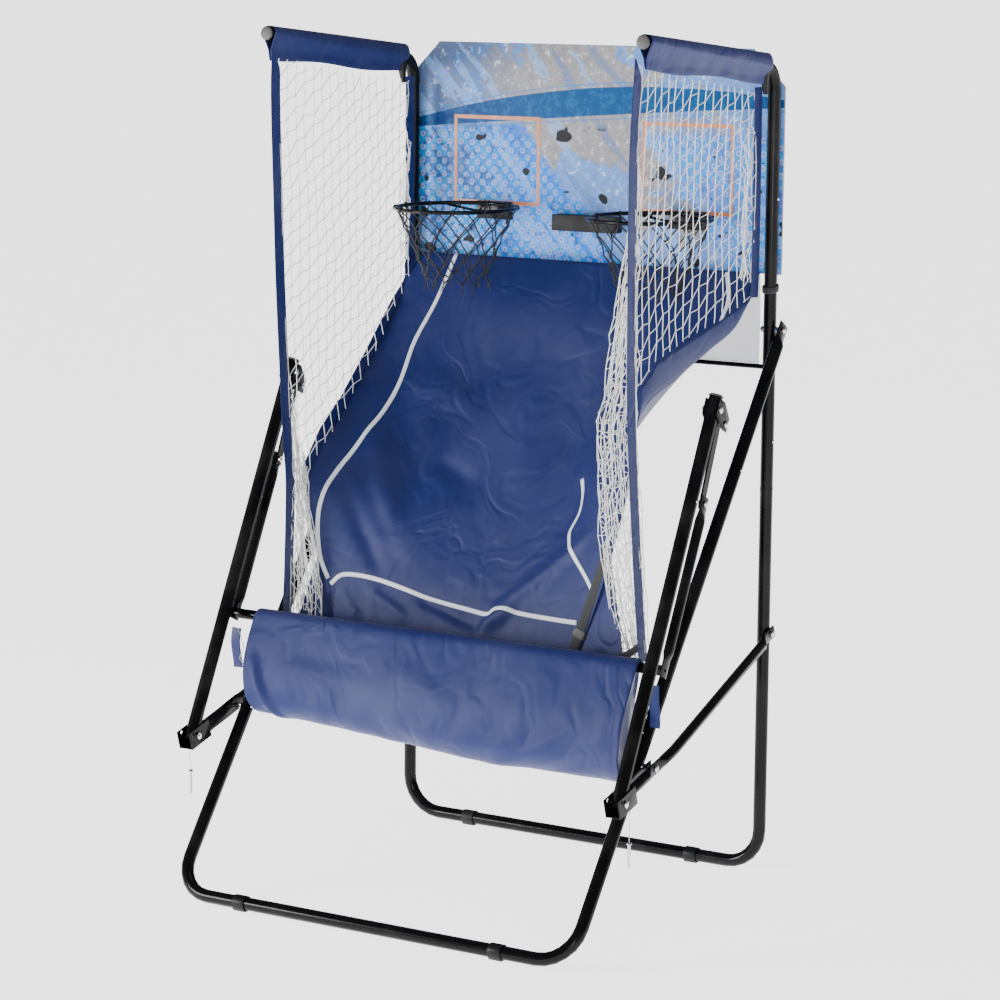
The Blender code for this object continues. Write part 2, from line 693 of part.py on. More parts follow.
def gate():
    """The struts and tubes folded down from the arms' tops, and the bar that the trough hangs on."""
    for side in (-1, 1):
        down = direction_to(GATE_AXIS, GATE_TOP)
        ends = [line_point(GATE_AXIS, down, -0.014), line_point(GATE_TOP, down, 0.014)]
        square = (-down[1], down[0])
        outline = []
        for end, turn in ((ends[0], 1), (ends[1], -1)):
            for b in (-turn, turn):
                outline.append(line_point(end, square, b * STRUT_HALF[1]))
        low, high = ARM_PLANE - STRUT_HALF[0], ARM_PLANE + STRUT_HALF[0]
        strut = prism(side_name(side, "gate_strut"), outline, side * low, side * high, "black_tube")
        bore(strut, GATE_AXIS, side)
        bore(strut, GATE_TOP, side)
        x = side * GATE_PLANE
        top = line_point(GATE_TOP, FOLD_DIR, 0.016)
        foot_end = line_point(GATE_FOOT, FOLD_DIR, -0.016)
        path, halves = tongued((x, *foot_end), (x, *top), GATE_RADIUS, True, True)
        rail = tube(side_name(side, "gate_rail"), path, (1, 0, 0), halves, "black_tube")
        bore(rail, GATE_TOP, side)
        bore(rail, GATE_FOOT, side)
        fork = CHEEK_INNER + SHEET_STEEL
        spacers = [
            (ARM_PLANE - CHEEK_INNER, ARM_PLANE - STRUT_HALF[0]),
            (ARM_PLANE + STRUT_HALF[0], ARM_PLANE + CHEEK_INNER),
        ]
        bolt("gate_pivot_bolt", GATE_AXIS, ARM_PLANE + fork, ARM_PLANE - fork, side, spacers)
        bolt("gate_strut_bolt", GATE_TOP, GATE_PLANE + TONGUE_HALF, ARM_PLANE - STRUT_HALF[0], side)
    end = GATE_PLANE - TONGUE_HALF - FIT
    path = [(-end, *GATE_FOOT), (end, *GATE_FOOT)]
    tube("trough_bar", path, (0, 0, 1), same(path, GATE_RADIUS), "black_tube")


def sleeves():
    """Cloth tubes that hang round the top arms."""
    for side in (-1, 1):
        top = rear_point(side * HALF_WIDTH, ARM_HEIGHT)
        along = Vector((0, -math.cos(ARM_RISE), math.sin(ARM_RISE)))
        path = [top + along * d for d in (SLEEVE_START, ARM_REACH - SLEEVE_END)]
        halves = [SLEEVE_HALF] * 2
        name = side_name(side, "sleeve")
        tube(name, path, (1, 0, 0), halves, "navy_cloth", wall=SLEEVE_WALL, sides=SLEEVE_SIDES)


def side_nets():
    outline = [
        (SIDE_NET_FRONT, 2.047),
        (SIDE_NET_REAR, 1.972),
        (SIDE_NET_REAR, RAMP_LINE[0][1]),
        *[(y + SIDE_NET_LAP, z) for y, z in RAMP_LINE[1:-1]],
        (SIDE_NET_FRONT, RAMP_LINE[-2][1]),
    ]
    for side in (-1, 1):
        low, high = SIDE_NET_X - SIDE_NET_THICKNESS / 2, SIDE_NET_X + SIDE_NET_THICKNESS / 2
        prism(side_name(side, "side_net"), outline, side * low, side * high, "white_net")


def thick_line(line, thickness):
    """The (y, z) outline of a wall of that thickness whose one face is the line."""
    line = [Vector(p) for p in line]
    other = []
    for k, point in enumerate(line):
        tangent = (line[min(k + 1, len(line) - 1)] - line[max(k - 1, 0)]).normalized()
        other.append(point + Vector((-tangent[1], tangent[0])) * thickness)
    return [tuple(p) for p in line + other[::-1]]


def ramp():
    prism("ramp", thick_line(RAMP_LINE, CLOTH), -RAMP_HALF, RAMP_HALF, "navy_cloth", smooth=True)


def trough():
    """A cloth sack, open above, with its front edge over the trough bar."""
    y, z = GATE_FOOT
    outer = [
        (y - 0.022, z + 0.026),
        (y - 0.062, z - 0.030),
        (y - 0.092, z - 0.110),
        (y - 0.086, z - 0.180),
        (y - 0.040, z - 0.235),
        (y + 0.060, z - 0.258),
        (y + 0.170, z - 0.238),
        (y + 0.240, z - 0.180),
        (y + 0.268, z - 0.100),
        (y + 0.262, z - 0.020),
    ]
    sack = prism("trough", outer, -TROUGH_HALF, TROUGH_HALF, "navy_cloth", smooth=True)
    middle = Vector((y + 0.090, z - 0.110))
    inner = []
    for point in outer:
        inward = (middle - Vector(point)).normalized()
        inner.append(tuple(Vector(point) + inward * CLOTH * 1.3))
    lift = 0.05
    inner = [(inner[0][0], inner[0][1] + lift), *inner, (inner[-1][0], inner[-1][1] + lift)]
    hollow = prism("cut_trough", inner, -TROUGH_HALF + CLOTH, TROUGH_HALF - CLOTH, "navy_cloth")
    combine(sack, hollow, "DIFFERENCE")
    radius = GATE_RADIUS + FIT
    bar = [(-TROUGH_HALF - 0.05, radius), (TROUGH_HALF + 0.05, radius)]
    combine(sack, turned("cut_trough_bar", GATE_FOOT, bar, "zinc", sides=16), "DIFFERENCE")


def rear_net():
    low = rear_point(0, REAR_BAR_HEIGHT + REAR_BAR_RADIUS + FIT)
    high = rear_point(0, BOARD_BOTTOM - 0.004)
    half = SIDE_NET_THICKNESS / 2
    outline = [
        (low[1] - half, low[2]),
        (low[1] + half, low[2]),
        (high[1] + half, high[2]),
        (high[1] - half, high[2]),
    ]
    prism("rear_net", outline, -REAR_NET_HALF, REAR_NET_HALF, "white_net")


def lanyards():
    """A string from each bracket's lower edge with a lock pin hanging on it."""
    for side in (-1, 1):
        x = side * (ARM_PLANE + CHEEK_INNER + SHEET_STEEL / 2)
        square = (-LINK_DIR[1], LINK_DIR[0])
        edge = line_point(line_point(FOLD_ARM_FOOT, LINK_DIR, 0.012), square, -CHANNEL_DOWN)
        top = Vector((x, edge[0], edge[1] - FIT))
        count = 15
        curve = bpy.data.curves.new(side_name(side, "lanyard"), "CURVE")
        curve.dimensions = "3D"
        spline = curve.splines.new("POLY")
        spline.points.add(count - 1)
        for k, point in enumerate(spline.points):
            share = k / (count - 1)
            sway = 0.0015 * math.sin(math.pi * share)
            point.co = (top.x + side * sway, top.y - sway, top.z - STRING_LENGTH * share, 1)
        curve.bevel_depth = STRING_RADIUS
        curve.bevel_resolution = 2
        curve.use_fill_caps = True
        curve.materials.append(material("white_cord"))
        string = bpy.data.objects.new(side_name(side, "lanyard"), curve)
        bpy.context.scene.collection.objects.link(string)
        lock_pin(side, top - Vector((0, 0, STRING_LENGTH + FIT)))


def lock_pin(side, top):
    """A steel pin with a collar at its head, hanging head up."""
    radius, height = PIN_COLLAR
    stations = [(0, radius * 0.7), (0.002, radius), (height, radius), (height, PIN_RADIUS),
                (PIN_LENGTH - 0.004, PIN_RADIUS), (PIN_LENGTH, PIN_RADIUS * 0.5)]
    points = []
    for distance, size in stations:
        centre = top - Vector((0, 0, distance))
        points += ring(centre, Vector((0, 0, -1)), Vector((1, 0, 0)), (size, size), SMALL_SIDES)
    faces = skin(len(stations), SMALL_SIDES)
    faces += [tuple(range(SMALL_SIDES)), tuple(range(len(points) - SMALL_SIDES, len(points)))]
    add_object(side_name(side, "lock_pin"), points, faces, "zinc")


def centre_on_floor(skipped):
    """Moves everything along Y so that the box of all but the skipped objects is centred on the origin."""
    bpy.context.view_layer.update()
    graph = bpy.context.evaluated_depsgraph_get()
    lows, highs = [], []
    for obj in bpy.context.scene.objects:
        if obj.hide_render or obj.name in skipped:
            continue
        evaluated = obj.evaluated_get(graph)
        corners = [evaluated.matrix_world @ Vector(corner) for corner in evaluated.bound_box]
        lows.append(min(corner.y for corner in corners))
        highs.append(max(corner.y for corner in corners))
    shift = -(min(lows) + max(highs)) / 2
    for obj in bpy.context.scene.objects:
        obj.location.y += shift
    return shift


def main():
    clear_scene()
    rear_frame()
    backboard()
    for side in (-1, 1):
        hoop(side)
    scorer()
    feet()
    front_stand()
    side_links()
    folded_arms()
    gate()
    sleeves()
    side_nets()
    ramp()
    trough()
    rear_net()
    lanyards()
    shift = centre_on_floor({"left_lanyard", "right_lanyard", "left_lock_pin", "right_lock_pin"})
    for name, place in (
        ("stand axis", STAND_AXIS),
        ("link axis", LINK_AXIS),
        ("folded arm foot", FOLD_ARM_FOOT),
        ("gate axis", GATE_AXIS),
        ("gate foot", GATE_FOOT),
        ("front corner", FRONT_CORNER),
        ("rear corner", tuple(rear_point(0, 0))[1:]),
    ):
        print(f"{name}: y {place[0] + shift:.4f}, z {place[1]:.4f}")


main()
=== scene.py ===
"""Folding two-hoop basketball machine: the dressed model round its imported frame."""
import json
import math

import bpy
import numpy as np
from bpy.props import FloatProperty, FloatVectorProperty, IntProperty, PointerProperty
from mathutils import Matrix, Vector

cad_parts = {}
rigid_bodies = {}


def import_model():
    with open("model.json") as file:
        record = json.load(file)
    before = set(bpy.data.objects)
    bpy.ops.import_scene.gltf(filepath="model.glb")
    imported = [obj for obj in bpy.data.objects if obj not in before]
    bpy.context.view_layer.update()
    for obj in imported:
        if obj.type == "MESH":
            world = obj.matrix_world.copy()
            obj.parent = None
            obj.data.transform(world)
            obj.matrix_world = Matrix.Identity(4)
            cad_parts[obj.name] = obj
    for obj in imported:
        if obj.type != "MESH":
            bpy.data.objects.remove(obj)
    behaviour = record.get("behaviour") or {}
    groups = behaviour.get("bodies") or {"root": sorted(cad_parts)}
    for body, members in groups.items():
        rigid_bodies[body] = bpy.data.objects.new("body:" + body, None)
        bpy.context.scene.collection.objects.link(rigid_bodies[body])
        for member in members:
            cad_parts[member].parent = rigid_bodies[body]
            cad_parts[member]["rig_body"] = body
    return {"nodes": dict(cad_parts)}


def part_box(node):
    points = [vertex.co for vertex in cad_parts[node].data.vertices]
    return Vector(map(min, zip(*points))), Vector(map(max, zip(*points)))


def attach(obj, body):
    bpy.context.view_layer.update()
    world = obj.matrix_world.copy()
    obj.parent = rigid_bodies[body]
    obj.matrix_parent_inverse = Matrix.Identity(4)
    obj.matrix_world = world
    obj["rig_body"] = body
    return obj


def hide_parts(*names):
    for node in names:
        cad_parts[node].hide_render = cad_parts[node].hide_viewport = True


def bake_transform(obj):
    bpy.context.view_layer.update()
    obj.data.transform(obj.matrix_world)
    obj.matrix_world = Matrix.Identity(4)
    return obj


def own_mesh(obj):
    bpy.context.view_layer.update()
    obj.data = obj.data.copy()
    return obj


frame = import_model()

bl_info = {
    "name": "Folding basketball machine",
    "version": (1, 0, 0),
    "blender": (4, 5, 0),
    "location": "3D View > Sidebar > Basketball",
    "description": "Builds the tubes, print, nets, hoops and cloth of a folding basketball machine",
    "category": "Object",
}

# Places of the frame, in metres. An arm runs from its corner towards the player.
UPRIGHT_X = 0.518
NET_X = 0.4984
ARM_CORNER = np.array([0.0, 0.4866, 1.9687])
ARM_RISE = math.radians(7.4)
ARM_DIR = np.array([0.0, -math.cos(ARM_RISE), math.sin(ARM_RISE)])
ARM_UP = np.array([0.0, math.sin(ARM_RISE), math.cos(ARM_RISE)])
ARM_REACH = 0.627
LEAN = math.radians(0.9)
UPRIGHT_DIR = np.array([0.0, math.sin(LEAN), math.cos(LEAN)])
UPRIGHT_FOOT = (0.456, 0.019)
COLLAR_HEIGHT = 1.425
FOLD_FOOT = np.array([0.0, -0.3640, 0.3700])
FOLD_ANGLE = math.radians(26.4)
FOLD_DIR = np.array([0.0, math.sin(FOLD_ANGLE), math.cos(FOLD_ANGLE)])
FOLD_LENGTH = 0.967
FOLD_X = 0.600
FOLD_RADIUS = 0.0165
TUBE_RADIUS = 0.016
HOOP_CENTRES = (-0.278, 0.278)
HOOP_RADIUS = 0.150
HOOP_ROD = 0.005
HOOP_STEM_X = 0.030
TARGET_X = 0.275
TARGET_HEIGHT = 1.719
TARGET_HALF = np.array([0.128, 0.111])

# Middle and edges of the ramp's cloth, from under the backboard down into the trough. In the
# tables by side, right is 1 and left is -1.
RAMP_MIDDLE = [
    (0.0, 0.462, 1.481),
    (0.0, 0.372, 1.345),
    (0.0, 0.316, 1.235),
    (0.0, 0.236, 1.105),
    (0.0, 0.150, 0.970),
    (0.0, 0.070, 0.850),
    (0.0, -0.005, 0.725),
    (0.0, -0.062, 0.562),
]
RAMP_EDGE = {
    1: [
        (0.488, 0.464, 1.481),
        (0.496, 0.360, 1.372),
        (0.496, 0.225, 1.322),
        (0.496, 0.080, 1.277),
        (0.492, -0.090, 1.210),
        (0.448, -0.078, 1.000),
        (0.368, -0.058, 0.775),
        (0.292, -0.064, 0.568),
    ],
    -1: [
        (-0.488, 0.464, 1.481),
        (-0.496, 0.355, 1.335),
        (-0.496, 0.235, 1.212),
        (-0.496, 0.125, 1.110),
        (-0.495, 0.040, 1.045),
        (-0.486, -0.035, 0.950),
        (-0.458, -0.040, 0.800),
        (-0.376, -0.062, 0.575),
    ],
}
RAMP_CURVE = 2.6
RAMP_HALF, RAMP_LENGTH = 0.49, 1.23
# (across, down, across, down, width, height) of each fold of the ramp, in metres when spread.
RAMP_FOLDS = [(-0.44, 0.53, -0.27, 0.92, 0.030, 0.012), (-0.45, 0.31, -0.24, 0.80, 0.035, -0.009),
              (-0.44, 0.79, -0.31, 1.05, 0.024, -0.009), (-0.35, 0.40, -0.17, 0.50, 0.040, 0.008),
              (-0.24, 0.66, -0.11, 0.72, 0.030, -0.008), (-0.26, 1.00, -0.12, 0.77, 0.036, 0.009),
              (-0.34, 1.11, -0.22, 1.15, 0.016, 0.008), (-0.19, 1.09, 0.03, 1.14, 0.016, -0.010),
              (0.05, 1.14, 0.32, 0.88, 0.028, 0.012), (0.21, 0.68, 0.20, 0.87, 0.030, -0.010),
              (0.03, 1.14, 0.15, 1.09, 0.014, 0.010), (-0.44, 1.12, -0.39, 1.18, 0.014, 0.006),
              (-0.03, 0.39, 0.05, 0.78, 0.060, 0.006), (0.28, 0.30, 0.10, 0.62, 0.045, -0.006)]
# (y, z) down the middle of each strap.
FRONT_STRAP = {
    1: [(-0.119, 2.012), (-0.137, 1.850), (-0.143, 1.743), (-0.146, 1.474),
        (-0.142, 1.178), (-0.104, 0.778), (-0.083, 0.628)],
    -1: [(-0.126, 2.012), (-0.131, 1.891), (-0.125, 1.640), (-0.119, 1.435),
         (-0.099, 1.091), (-0.088, 0.965), (-0.096, 0.780), (-0.107, 0.628)],
}
REAR_STRAP = [(0.4420, 1.925), (0.4400, 1.700), (0.4370, 1.500), (0.4330, 1.425)]
# (y, z) along the lower edge of each side net, from front to rear.
NET_LOW = {
    1: [(-0.170, 1.235), (-0.095, 1.268), (-0.028, 1.318), (0.055, 1.337),
        (0.249, 1.378), (0.360, 1.405), (0.470, 1.440)],
    -1: [(-0.170, 0.900), (-0.095, 0.925), (-0.035, 0.968), (0.040, 1.055),
         (0.125, 1.118), (0.235, 1.222), (0.355, 1.342), (0.470, 1.435)],
}
# Front to rear of a side net, its highest row of knots, and the foot of its gathered edge.
NET_DEPTH = 0.55
NET_HIGHEST = 2.06
GATHER_FOOT = 0.630
# The floor's own light, the strength of the world round it, and half the floor's width.
FLOOR_GLOW = 2.5
WORLD_STRENGTH = 0.22
FLOOR_REACH = 300.0
# (name, place, aim, diameter, watts) of each light.
LIGHTS = [
    ("key_light", (-4.4, -4.6, 1.7), (0, 0, 1.0), 2.2, 430),
    ("fill_light", (4.2, -5.8, 1.9), (0, 0, 1.0), 1.8, 110),
    ("top_light", (0.4, 0.6, 5.4), (0, 0, 1.2), 2.6, 20),
]
CAMERA_PLACE = (4.404, -6.8053, 2.344)
CAMERA_TURN = (math.pi / 2 - 0.1703, 0, 0.5688)


def linear(red, green, blue):
    """A display colour from 0 to 255 as linear light: ((c + 0.055) / 1.055) ^ 2.4."""
    display = np.array([red, green, blue]) / 255
    light = np.where(display > 0.04045, ((display + 0.055) / 1.055) ** 2.4, display / 12.92)
    return tuple(float(value) for value in light)


def colour(name, description, red, green, blue):
    """A colour property, whose default is a display colour from 0 to 255."""
    return FloatVectorProperty(
        name=name, description=description, default=linear(red, green, blue), size=3,
        min=0.0, max=1.0, subtype="COLOR",
    )


def length(name, description, default):
    """A length property in metres."""
    return FloatProperty(
        name=name, description=description, default=default, min=0.0001, unit="LENGTH"
    )


class FrameFinish(bpy.types.PropertyGroup):
    tube_colour: colour("Tube colour", "Powder coat of the tubes", 9, 9, 10)
    tube_gloss: FloatProperty(
        name="Tube roughness", description="0 is a mirror, 1 is chalk", default=0.22,
        min=0.0, max=1.0, subtype="FACTOR",
    )
    zinc_colour: colour("Zinc colour", "Plating of the bolts and pins", 205, 206, 208)
    plastic_colour: colour("Plastic colour", "Clips, end caps and the scorer", 18, 18, 19)
    bolt_polish: FloatProperty(
        name="Bolt roughness", description="0 is a mirror, 1 is chalk", default=0.24,
        min=0.0, max=1.0, subtype="FACTOR",
    )


class ClothSizes(bpy.types.PropertyGroup):
    colour: colour("Cloth colour", "Nylon of the ramp, trough and straps", 17, 31, 88)
    line_colour: colour("Line colour", "Court lines sewn on the ramp", 228, 233, 240)
    strap_width: length("Strap width", "Width of the straps round the side nets", 0.038)
    line_width: length("Court line width", "Width of the white lines on the ramp", 0.011)
    thickness: length("Cloth thickness", "Thickness of the nylon", 0.0010)
    thread: length("Thread pitch", "Distance between the threads of the weave", 0.0011)


class NetSizes(bpy.types.PropertyGroup):
    colour: colour("Net colour", "Twine of the side nets", 246, 246, 244)
    twine: length("Twine diameter", "Thickness of the side nets' twine", 0.0021)
    column: length("Mesh width", "Distance between the upright twines", 0.034)
    row: length("Mesh height", "Distance between knots along a twine", 0.040)
    rise: length("Mesh rise", "Rise of a cross twine from one upright twine to the next", 0.018)
    hoop_cord: length("Hoop cord diameter", "Thickness of the hoop nets' cord", 0.0036)
    hoop_loops: IntProperty(
        name="Hoop loops", description="Loops round a rim that hold its net", default=12, min=6
    )


class BoardPrint(bpy.types.PropertyGroup):
    target_colour: colour("Target colour", "Lines of the target squares", 176, 88, 12)
    target_width: length("Target line", "Width of the target squares' lines", 0.0095)
    sky: colour("Pale blue", "Pale blue of the print", 100, 144, 210)
    bright: colour("Bright blue", "Blue behind the dots", 0, 114, 226)
    teal: colour("Deep blue", "Sweep across the top of the print", 0, 66, 122)
    grey: colour("Grey", "Grey ground of the print", 146, 144, 146)
    dot_pitch: length("Dot pitch", "Distance between the rings of the print", 0.0235)


class StageLook(bpy.types.PropertyGroup):
    floor_colour: colour("Floor colour", "Plain pale floor", 244, 244, 245)
    lens: FloatProperty(
        name="Lens", description="Focal length of the camera in mm", default=124.0,
        min=10.0, subtype="DISTANCE_CAMERA",
    )


# ---------------------------------------------------------------- surfaces


def catmull_rom(points, low, share):
    """The Catmull-Rom curve through the points, at a share of the way on from point low.

    Between points b and c with neighbours a and d, at share t:
    (2b + (c - a)t + (2a - 5b + 4c - d)t^2 + (3b - a - 3c + d)t^3) / 2.
    """
    held = np.vstack([2 * points[0] - points[1], points, 2 * points[-1] - points[-2]])
    a, b, c, d = (held[low + k] for k in range(4))
    return (2 * b + (c - a) * share + (2 * a - 5 * b + 4 * c - d) * share**2
            + (3 * b - a - 3 * c + d) * share**3) / 2


def smooth_line(points, count):
    """Points spread evenly along the Catmull-Rom curve through the given ones."""
    points = np.asarray(points, float)
    share = np.linspace(0, 1, 24, endpoint=False)[None, :, None]
    dense = catmull_rom(points, np.arange(len(points) - 1)[:, None], share)
    dense = np.vstack([dense.reshape(-1, points.shape[1]), points[-1:]])
    along = np.concatenate([[0], np.cumsum(np.linalg.norm(np.diff(dense, axis=0), axis=1))])
    wanted = np.linspace(0, along[-1], count)
    return np.stack([np.interp(wanted, along, column) for column in dense.T], axis=1)


def at_share(points, share):
    """The Catmull-Rom curve through evenly numbered points, read at shares from 0 to 1."""
    points = np.asarray(points, float)
    place = np.clip(share, 0, 1) * (len(points) - 1)
    low = np.minimum(place.astype(int), len(points) - 2)
    return catmull_rom(points, low, (place - low)[..., None])


def line_length(points):
    """The length of a line of points."""
    return float(np.linalg.norm(np.diff(points, axis=0), axis=1).sum())


def grid_faces(rows, columns, round_rows=False, round_columns=False):
    """The quads of a grid of points numbered row by row, joined round where asked."""
    row = np.arange(rows if round_rows else rows - 1)[:, None]
    column = np.arange(columns if round_columns else columns - 1)[None, :]
    next_row, next_column = (row + 1) % rows, (column + 1) % columns
    corners = [row * columns + column, row * columns + next_column,
               next_row * columns + next_column, next_row * columns + column]
    return np.stack(corners, axis=-1).reshape(-1, 4)


def unit(vectors):
    """The vectors at length 1."""
    return vectors / np.maximum(np.linalg.norm(vectors, axis=-1, keepdims=True), 1e-12)


def swept(path, half, sides, across=(1, 0, 0), squareness=1.0):
    """A closed tube along a path: path + half[0] cos^q(a) side + half[1] sin^q(a) up.

    side is the across direction made square to the path, and up is square to both. With q = 1
    the ring is an ellipse, and a smaller q makes it a rounded oblong.
    """
    path = np.asarray(path, float)
    along = unit(np.gradient(path, axis=0))
    across = np.asarray(across, float)
    side = unit(across - along * (along @ across)[:, None])
    up = np.cross(along, side)
    half = np.broadcast_to(np.asarray(half, float).reshape(-1, 2), (len(path), 2))
    angle = np.arange(sides) * 2 * math.pi / sides
    cos = np.sign(np.cos(angle)) * np.abs(np.cos(angle)) ** squareness
    sin = np.sign(np.sin(angle)) * np.abs(np.sin(angle)) ** squareness
    ring = half[:, None, :1] * cos[None, :, None] * side[:, None, :]
    ring = ring + half[:, None, 1:] * sin[None, :, None] * up[:, None, :]
    points = (path[:, None, :] + ring).reshape(-1, 3)
    last = (len(path) - 1) * sides
    faces = [grid_faces(len(path), sides, round_columns=True),
             np.arange(sides)[None, ::-1], last + np.arange(sides)[None, :]]
    return points, faces


def turned(centre, axis, stations, sides):
    """A closed turned shape: at each (distance, radius) a ring round the axis from the centre."""
    axis = unit(np.asarray(axis, float))
    across = np.eye(3)[np.argmin(np.abs(axis))]
    stations = np.asarray(stations, float)
    path = np.asarray(centre, float) + stations[:, :1] * axis
    side = unit(np.cross(axis, across))
    up = np.cross(axis, side)
    angle = np.arange(sides) * 2 * math.pi / sides
    ring = np.cos(angle)[:, None] * side + np.sin(angle)[:, None] * up
    points = (path[:, None, :] + stations[:, None, 1:] * ring[None]).reshape(-1, 3)
    last = (len(stations) - 1) * sides
    faces = [grid_faces(len(stations), sides, round_columns=True),
             np.arange(sides)[None, ::-1], last + np.arange(sides)[None, :]]
    return points, faces


def strands(starts, ends, radius, sides=4):
    """Straight lengths of twine: for each a prism whose ring is square to it."""
    starts, ends = np.asarray(starts, float), np.asarray(ends, float)
    along = unit(ends - starts)
    across = np.where(np.abs(along[:, 2:]) > 0.9, [[1.0, 0, 0]], [[0, 0, 1.0]])
    side = unit(np.cross(along, across))
    up = np.cross(along, side)
    angle = (np.arange(sides) + 0.5) * 2 * math.pi / sides
    ring = np.cos(angle)[None, :, None] * side[:, None] + np.sin(angle)[None, :, None] * up[:, None]
    both = np.stack([starts, ends], axis=1)[:, :, None] + radius * ring[:, None]
    base = (np.arange(len(starts)) * 2 * sides)[:, None, None]
    return both.reshape(-1, 3), [(base + grid_faces(2, sides, round_columns=True)).reshape(-1, 4)]


def knots(centres, radius):
    """A small eight-sided knot at each centre."""
    centres = np.asarray(centres, float)
    corners = np.vstack([np.eye(3), -np.eye(3)]) * radius * np.array([1, 1, 1.35])
    faces = np.array([[0, 1, 2], [1, 3, 2], [3, 4, 2], [4, 0, 2],
                      [1, 0, 5], [3, 1, 5], [4, 3, 5], [0, 4, 5]])
    base = (np.arange(len(centres)) * 6)[:, None, None]
    return (centres[:, None] + corners).reshape(-1, 3), [(base + faces).reshape(-1, 3)]


def joined(*shapes):
    """Several (points, faces) as one."""
    points, faces, start = [], [], 0
    for some_points, some_faces in shapes:
        points.append(some_points)
        faces += [part + start for part in some_faces]
        start += len(some_points)
    return np.vstack(points), faces


def make_piece(name, shape, finish, uv=None, smooth=True):
    """Puts (points, faces) into a mesh object at the origin."""
    points, faces = shape
    mesh = bpy.data.meshes.new(name)
    mesh.vertices.add(len(points))
    mesh.vertices.foreach_set("co", np.asarray(points, np.float32).ravel())
    corners = np.concatenate([part.ravel() for part in faces]).astype(np.int32)
    sizes = np.concatenate([np.full(len(part), part.shape[1]) for part in faces])
    mesh.loops.add(len(corners))
    mesh.loops.foreach_set("vertex_index", corners)
    mesh.polygons.add(len(sizes))
    mesh.polygons.foreach_set("loop_start", (np.cumsum(sizes) - sizes).astype(np.int32))
    mesh.update(calc_edges=True)
    if uv is not None:
        layer = mesh.uv_layers.new(name="UVMap")
        layer.data.foreach_set("uv", np.asarray(uv, np.float32)[corners].ravel())
    mesh.polygons.foreach_set("use_smooth", np.full(len(sizes), smooth))
    if smooth:
        mesh.set_sharp_from_angle(angle=math.radians(48))
    mesh.materials.append(finish)
    piece = bpy.data.objects.new(name, mesh)
    bpy.context.scene.collection.objects.link(piece)
    return piece


def settle(piece, *modifiers):
    """Adds each (kind, settings) modifier and bakes them all into the mesh."""
    for kind, settings in modifiers:
        added = piece.modifiers.new(kind.title(), kind)
        for key, value in settings.items():
            setattr(added, key, value)
    bpy.context.view_layer.update()
    graph = bpy.context.evaluated_depsgraph_get()
    baked = bpy.data.meshes.new_from_object(piece.evaluated_get(graph))
    baked.name = piece.name
    piece.modifiers.clear()
    piece.data = baked
    return piece


def cloth_piece(name, points, rows, columns, finish, thickness, round_columns=False):
    """A sheet from a grid of points, given its thickness, with its UV map in metres."""
    grid = points.reshape(rows, columns, 3)
    down = np.linalg.norm(np.diff(grid, axis=0, prepend=grid[:1]), axis=2).cumsum(axis=0)
    over = np.linalg.norm(np.diff(grid, axis=1, prepend=grid[:, :1]), axis=2).cumsum(axis=1)
    uv = np.stack([over, down], axis=-1).reshape(-1, 2)
    shape = (points.reshape(-1, 3), [grid_faces(rows, columns, round_columns=round_columns)])
    piece = make_piece(name, shape, finish, uv)
    return settle(piece, ("SOLIDIFY", {"thickness": thickness, "offset": 0.0}))


def side_name(side, rest):
    """The name of a piece on the right, where side is 1, or on the left, where it is -1."""
    return ("right_" if side > 0 else "left_") + rest


# ---------------------------------------------------------------- finishes


def add_node(tree, kind, inputs=None, **settings):
    """A shader node with its settings, and its inputs given as values or linked outputs."""
    made = tree.nodes.new(kind)
    for key, value in settings.items():
        setattr(made, key, value)
    for key, value in (inputs or {}).items():
        if isinstance(value, bpy.types.NodeSocket):
            tree.links.new(value, made.inputs[key])
        else:
            made.inputs[key].default_value = value
    return made


def opaque(rgb):
    """The colour with full alpha."""
    return (*tuple(rgb)[:3], 1.0)


def maths(tree, operation, first, second=0.0, third=0.0):
    """The result of one Math node."""
    made = add_node(tree, "ShaderNodeMath", {0: first, 1: second, 2: third}, operation=operation)
    return made.outputs[0]


def blended(tree, share, first, second):
    """Mixes two colours by a share."""
    made = tree.nodes.new("ShaderNodeMix")
    made.data_type = "RGBA"
    for index, value in ((0, share), (6, first), (7, second)):
        if isinstance(value, bpy.types.NodeSocket):
            tree.links.new(value, made.inputs[index])
        else:
            made.inputs[index].default_value = value
    return made.outputs[2]


def stepped(tree, value, low, high):
    """Rises smoothly from 0 at low to 1 at high."""
    made = add_node(tree, "ShaderNodeMapRange", {0: value, 1: low, 2: high, 3: 0.0, 4: 1.0},
                    interpolation_type="SMOOTHSTEP")
    return made.outputs[0]


def speckle(tree, vector, scale, detail, roughness=0.55):
    """The value of a noise texture."""
    made = add_node(tree, "ShaderNodeTexNoise", {"Vector": vector, "Scale": scale,
                                                 "Detail": detail, "Roughness": roughness})
    return made.outputs["Fac"]


def new_group(name, inputs, outputs):
    """A shader node group with named sockets, given as (name, type, default)."""
    group = bpy.data.node_groups.new(name, "ShaderNodeTree")
    for label, kind, default in inputs:
        socket = group.interface.new_socket(label, in_out="INPUT", socket_type=kind)
        if default is not None:
            socket.default_value = default
    for label, kind in outputs:
        group.interface.new_socket(label, in_out="OUTPUT", socket_type=kind)
    return group, group.nodes.new("NodeGroupInput"), group.nodes.new("NodeGroupOutput")


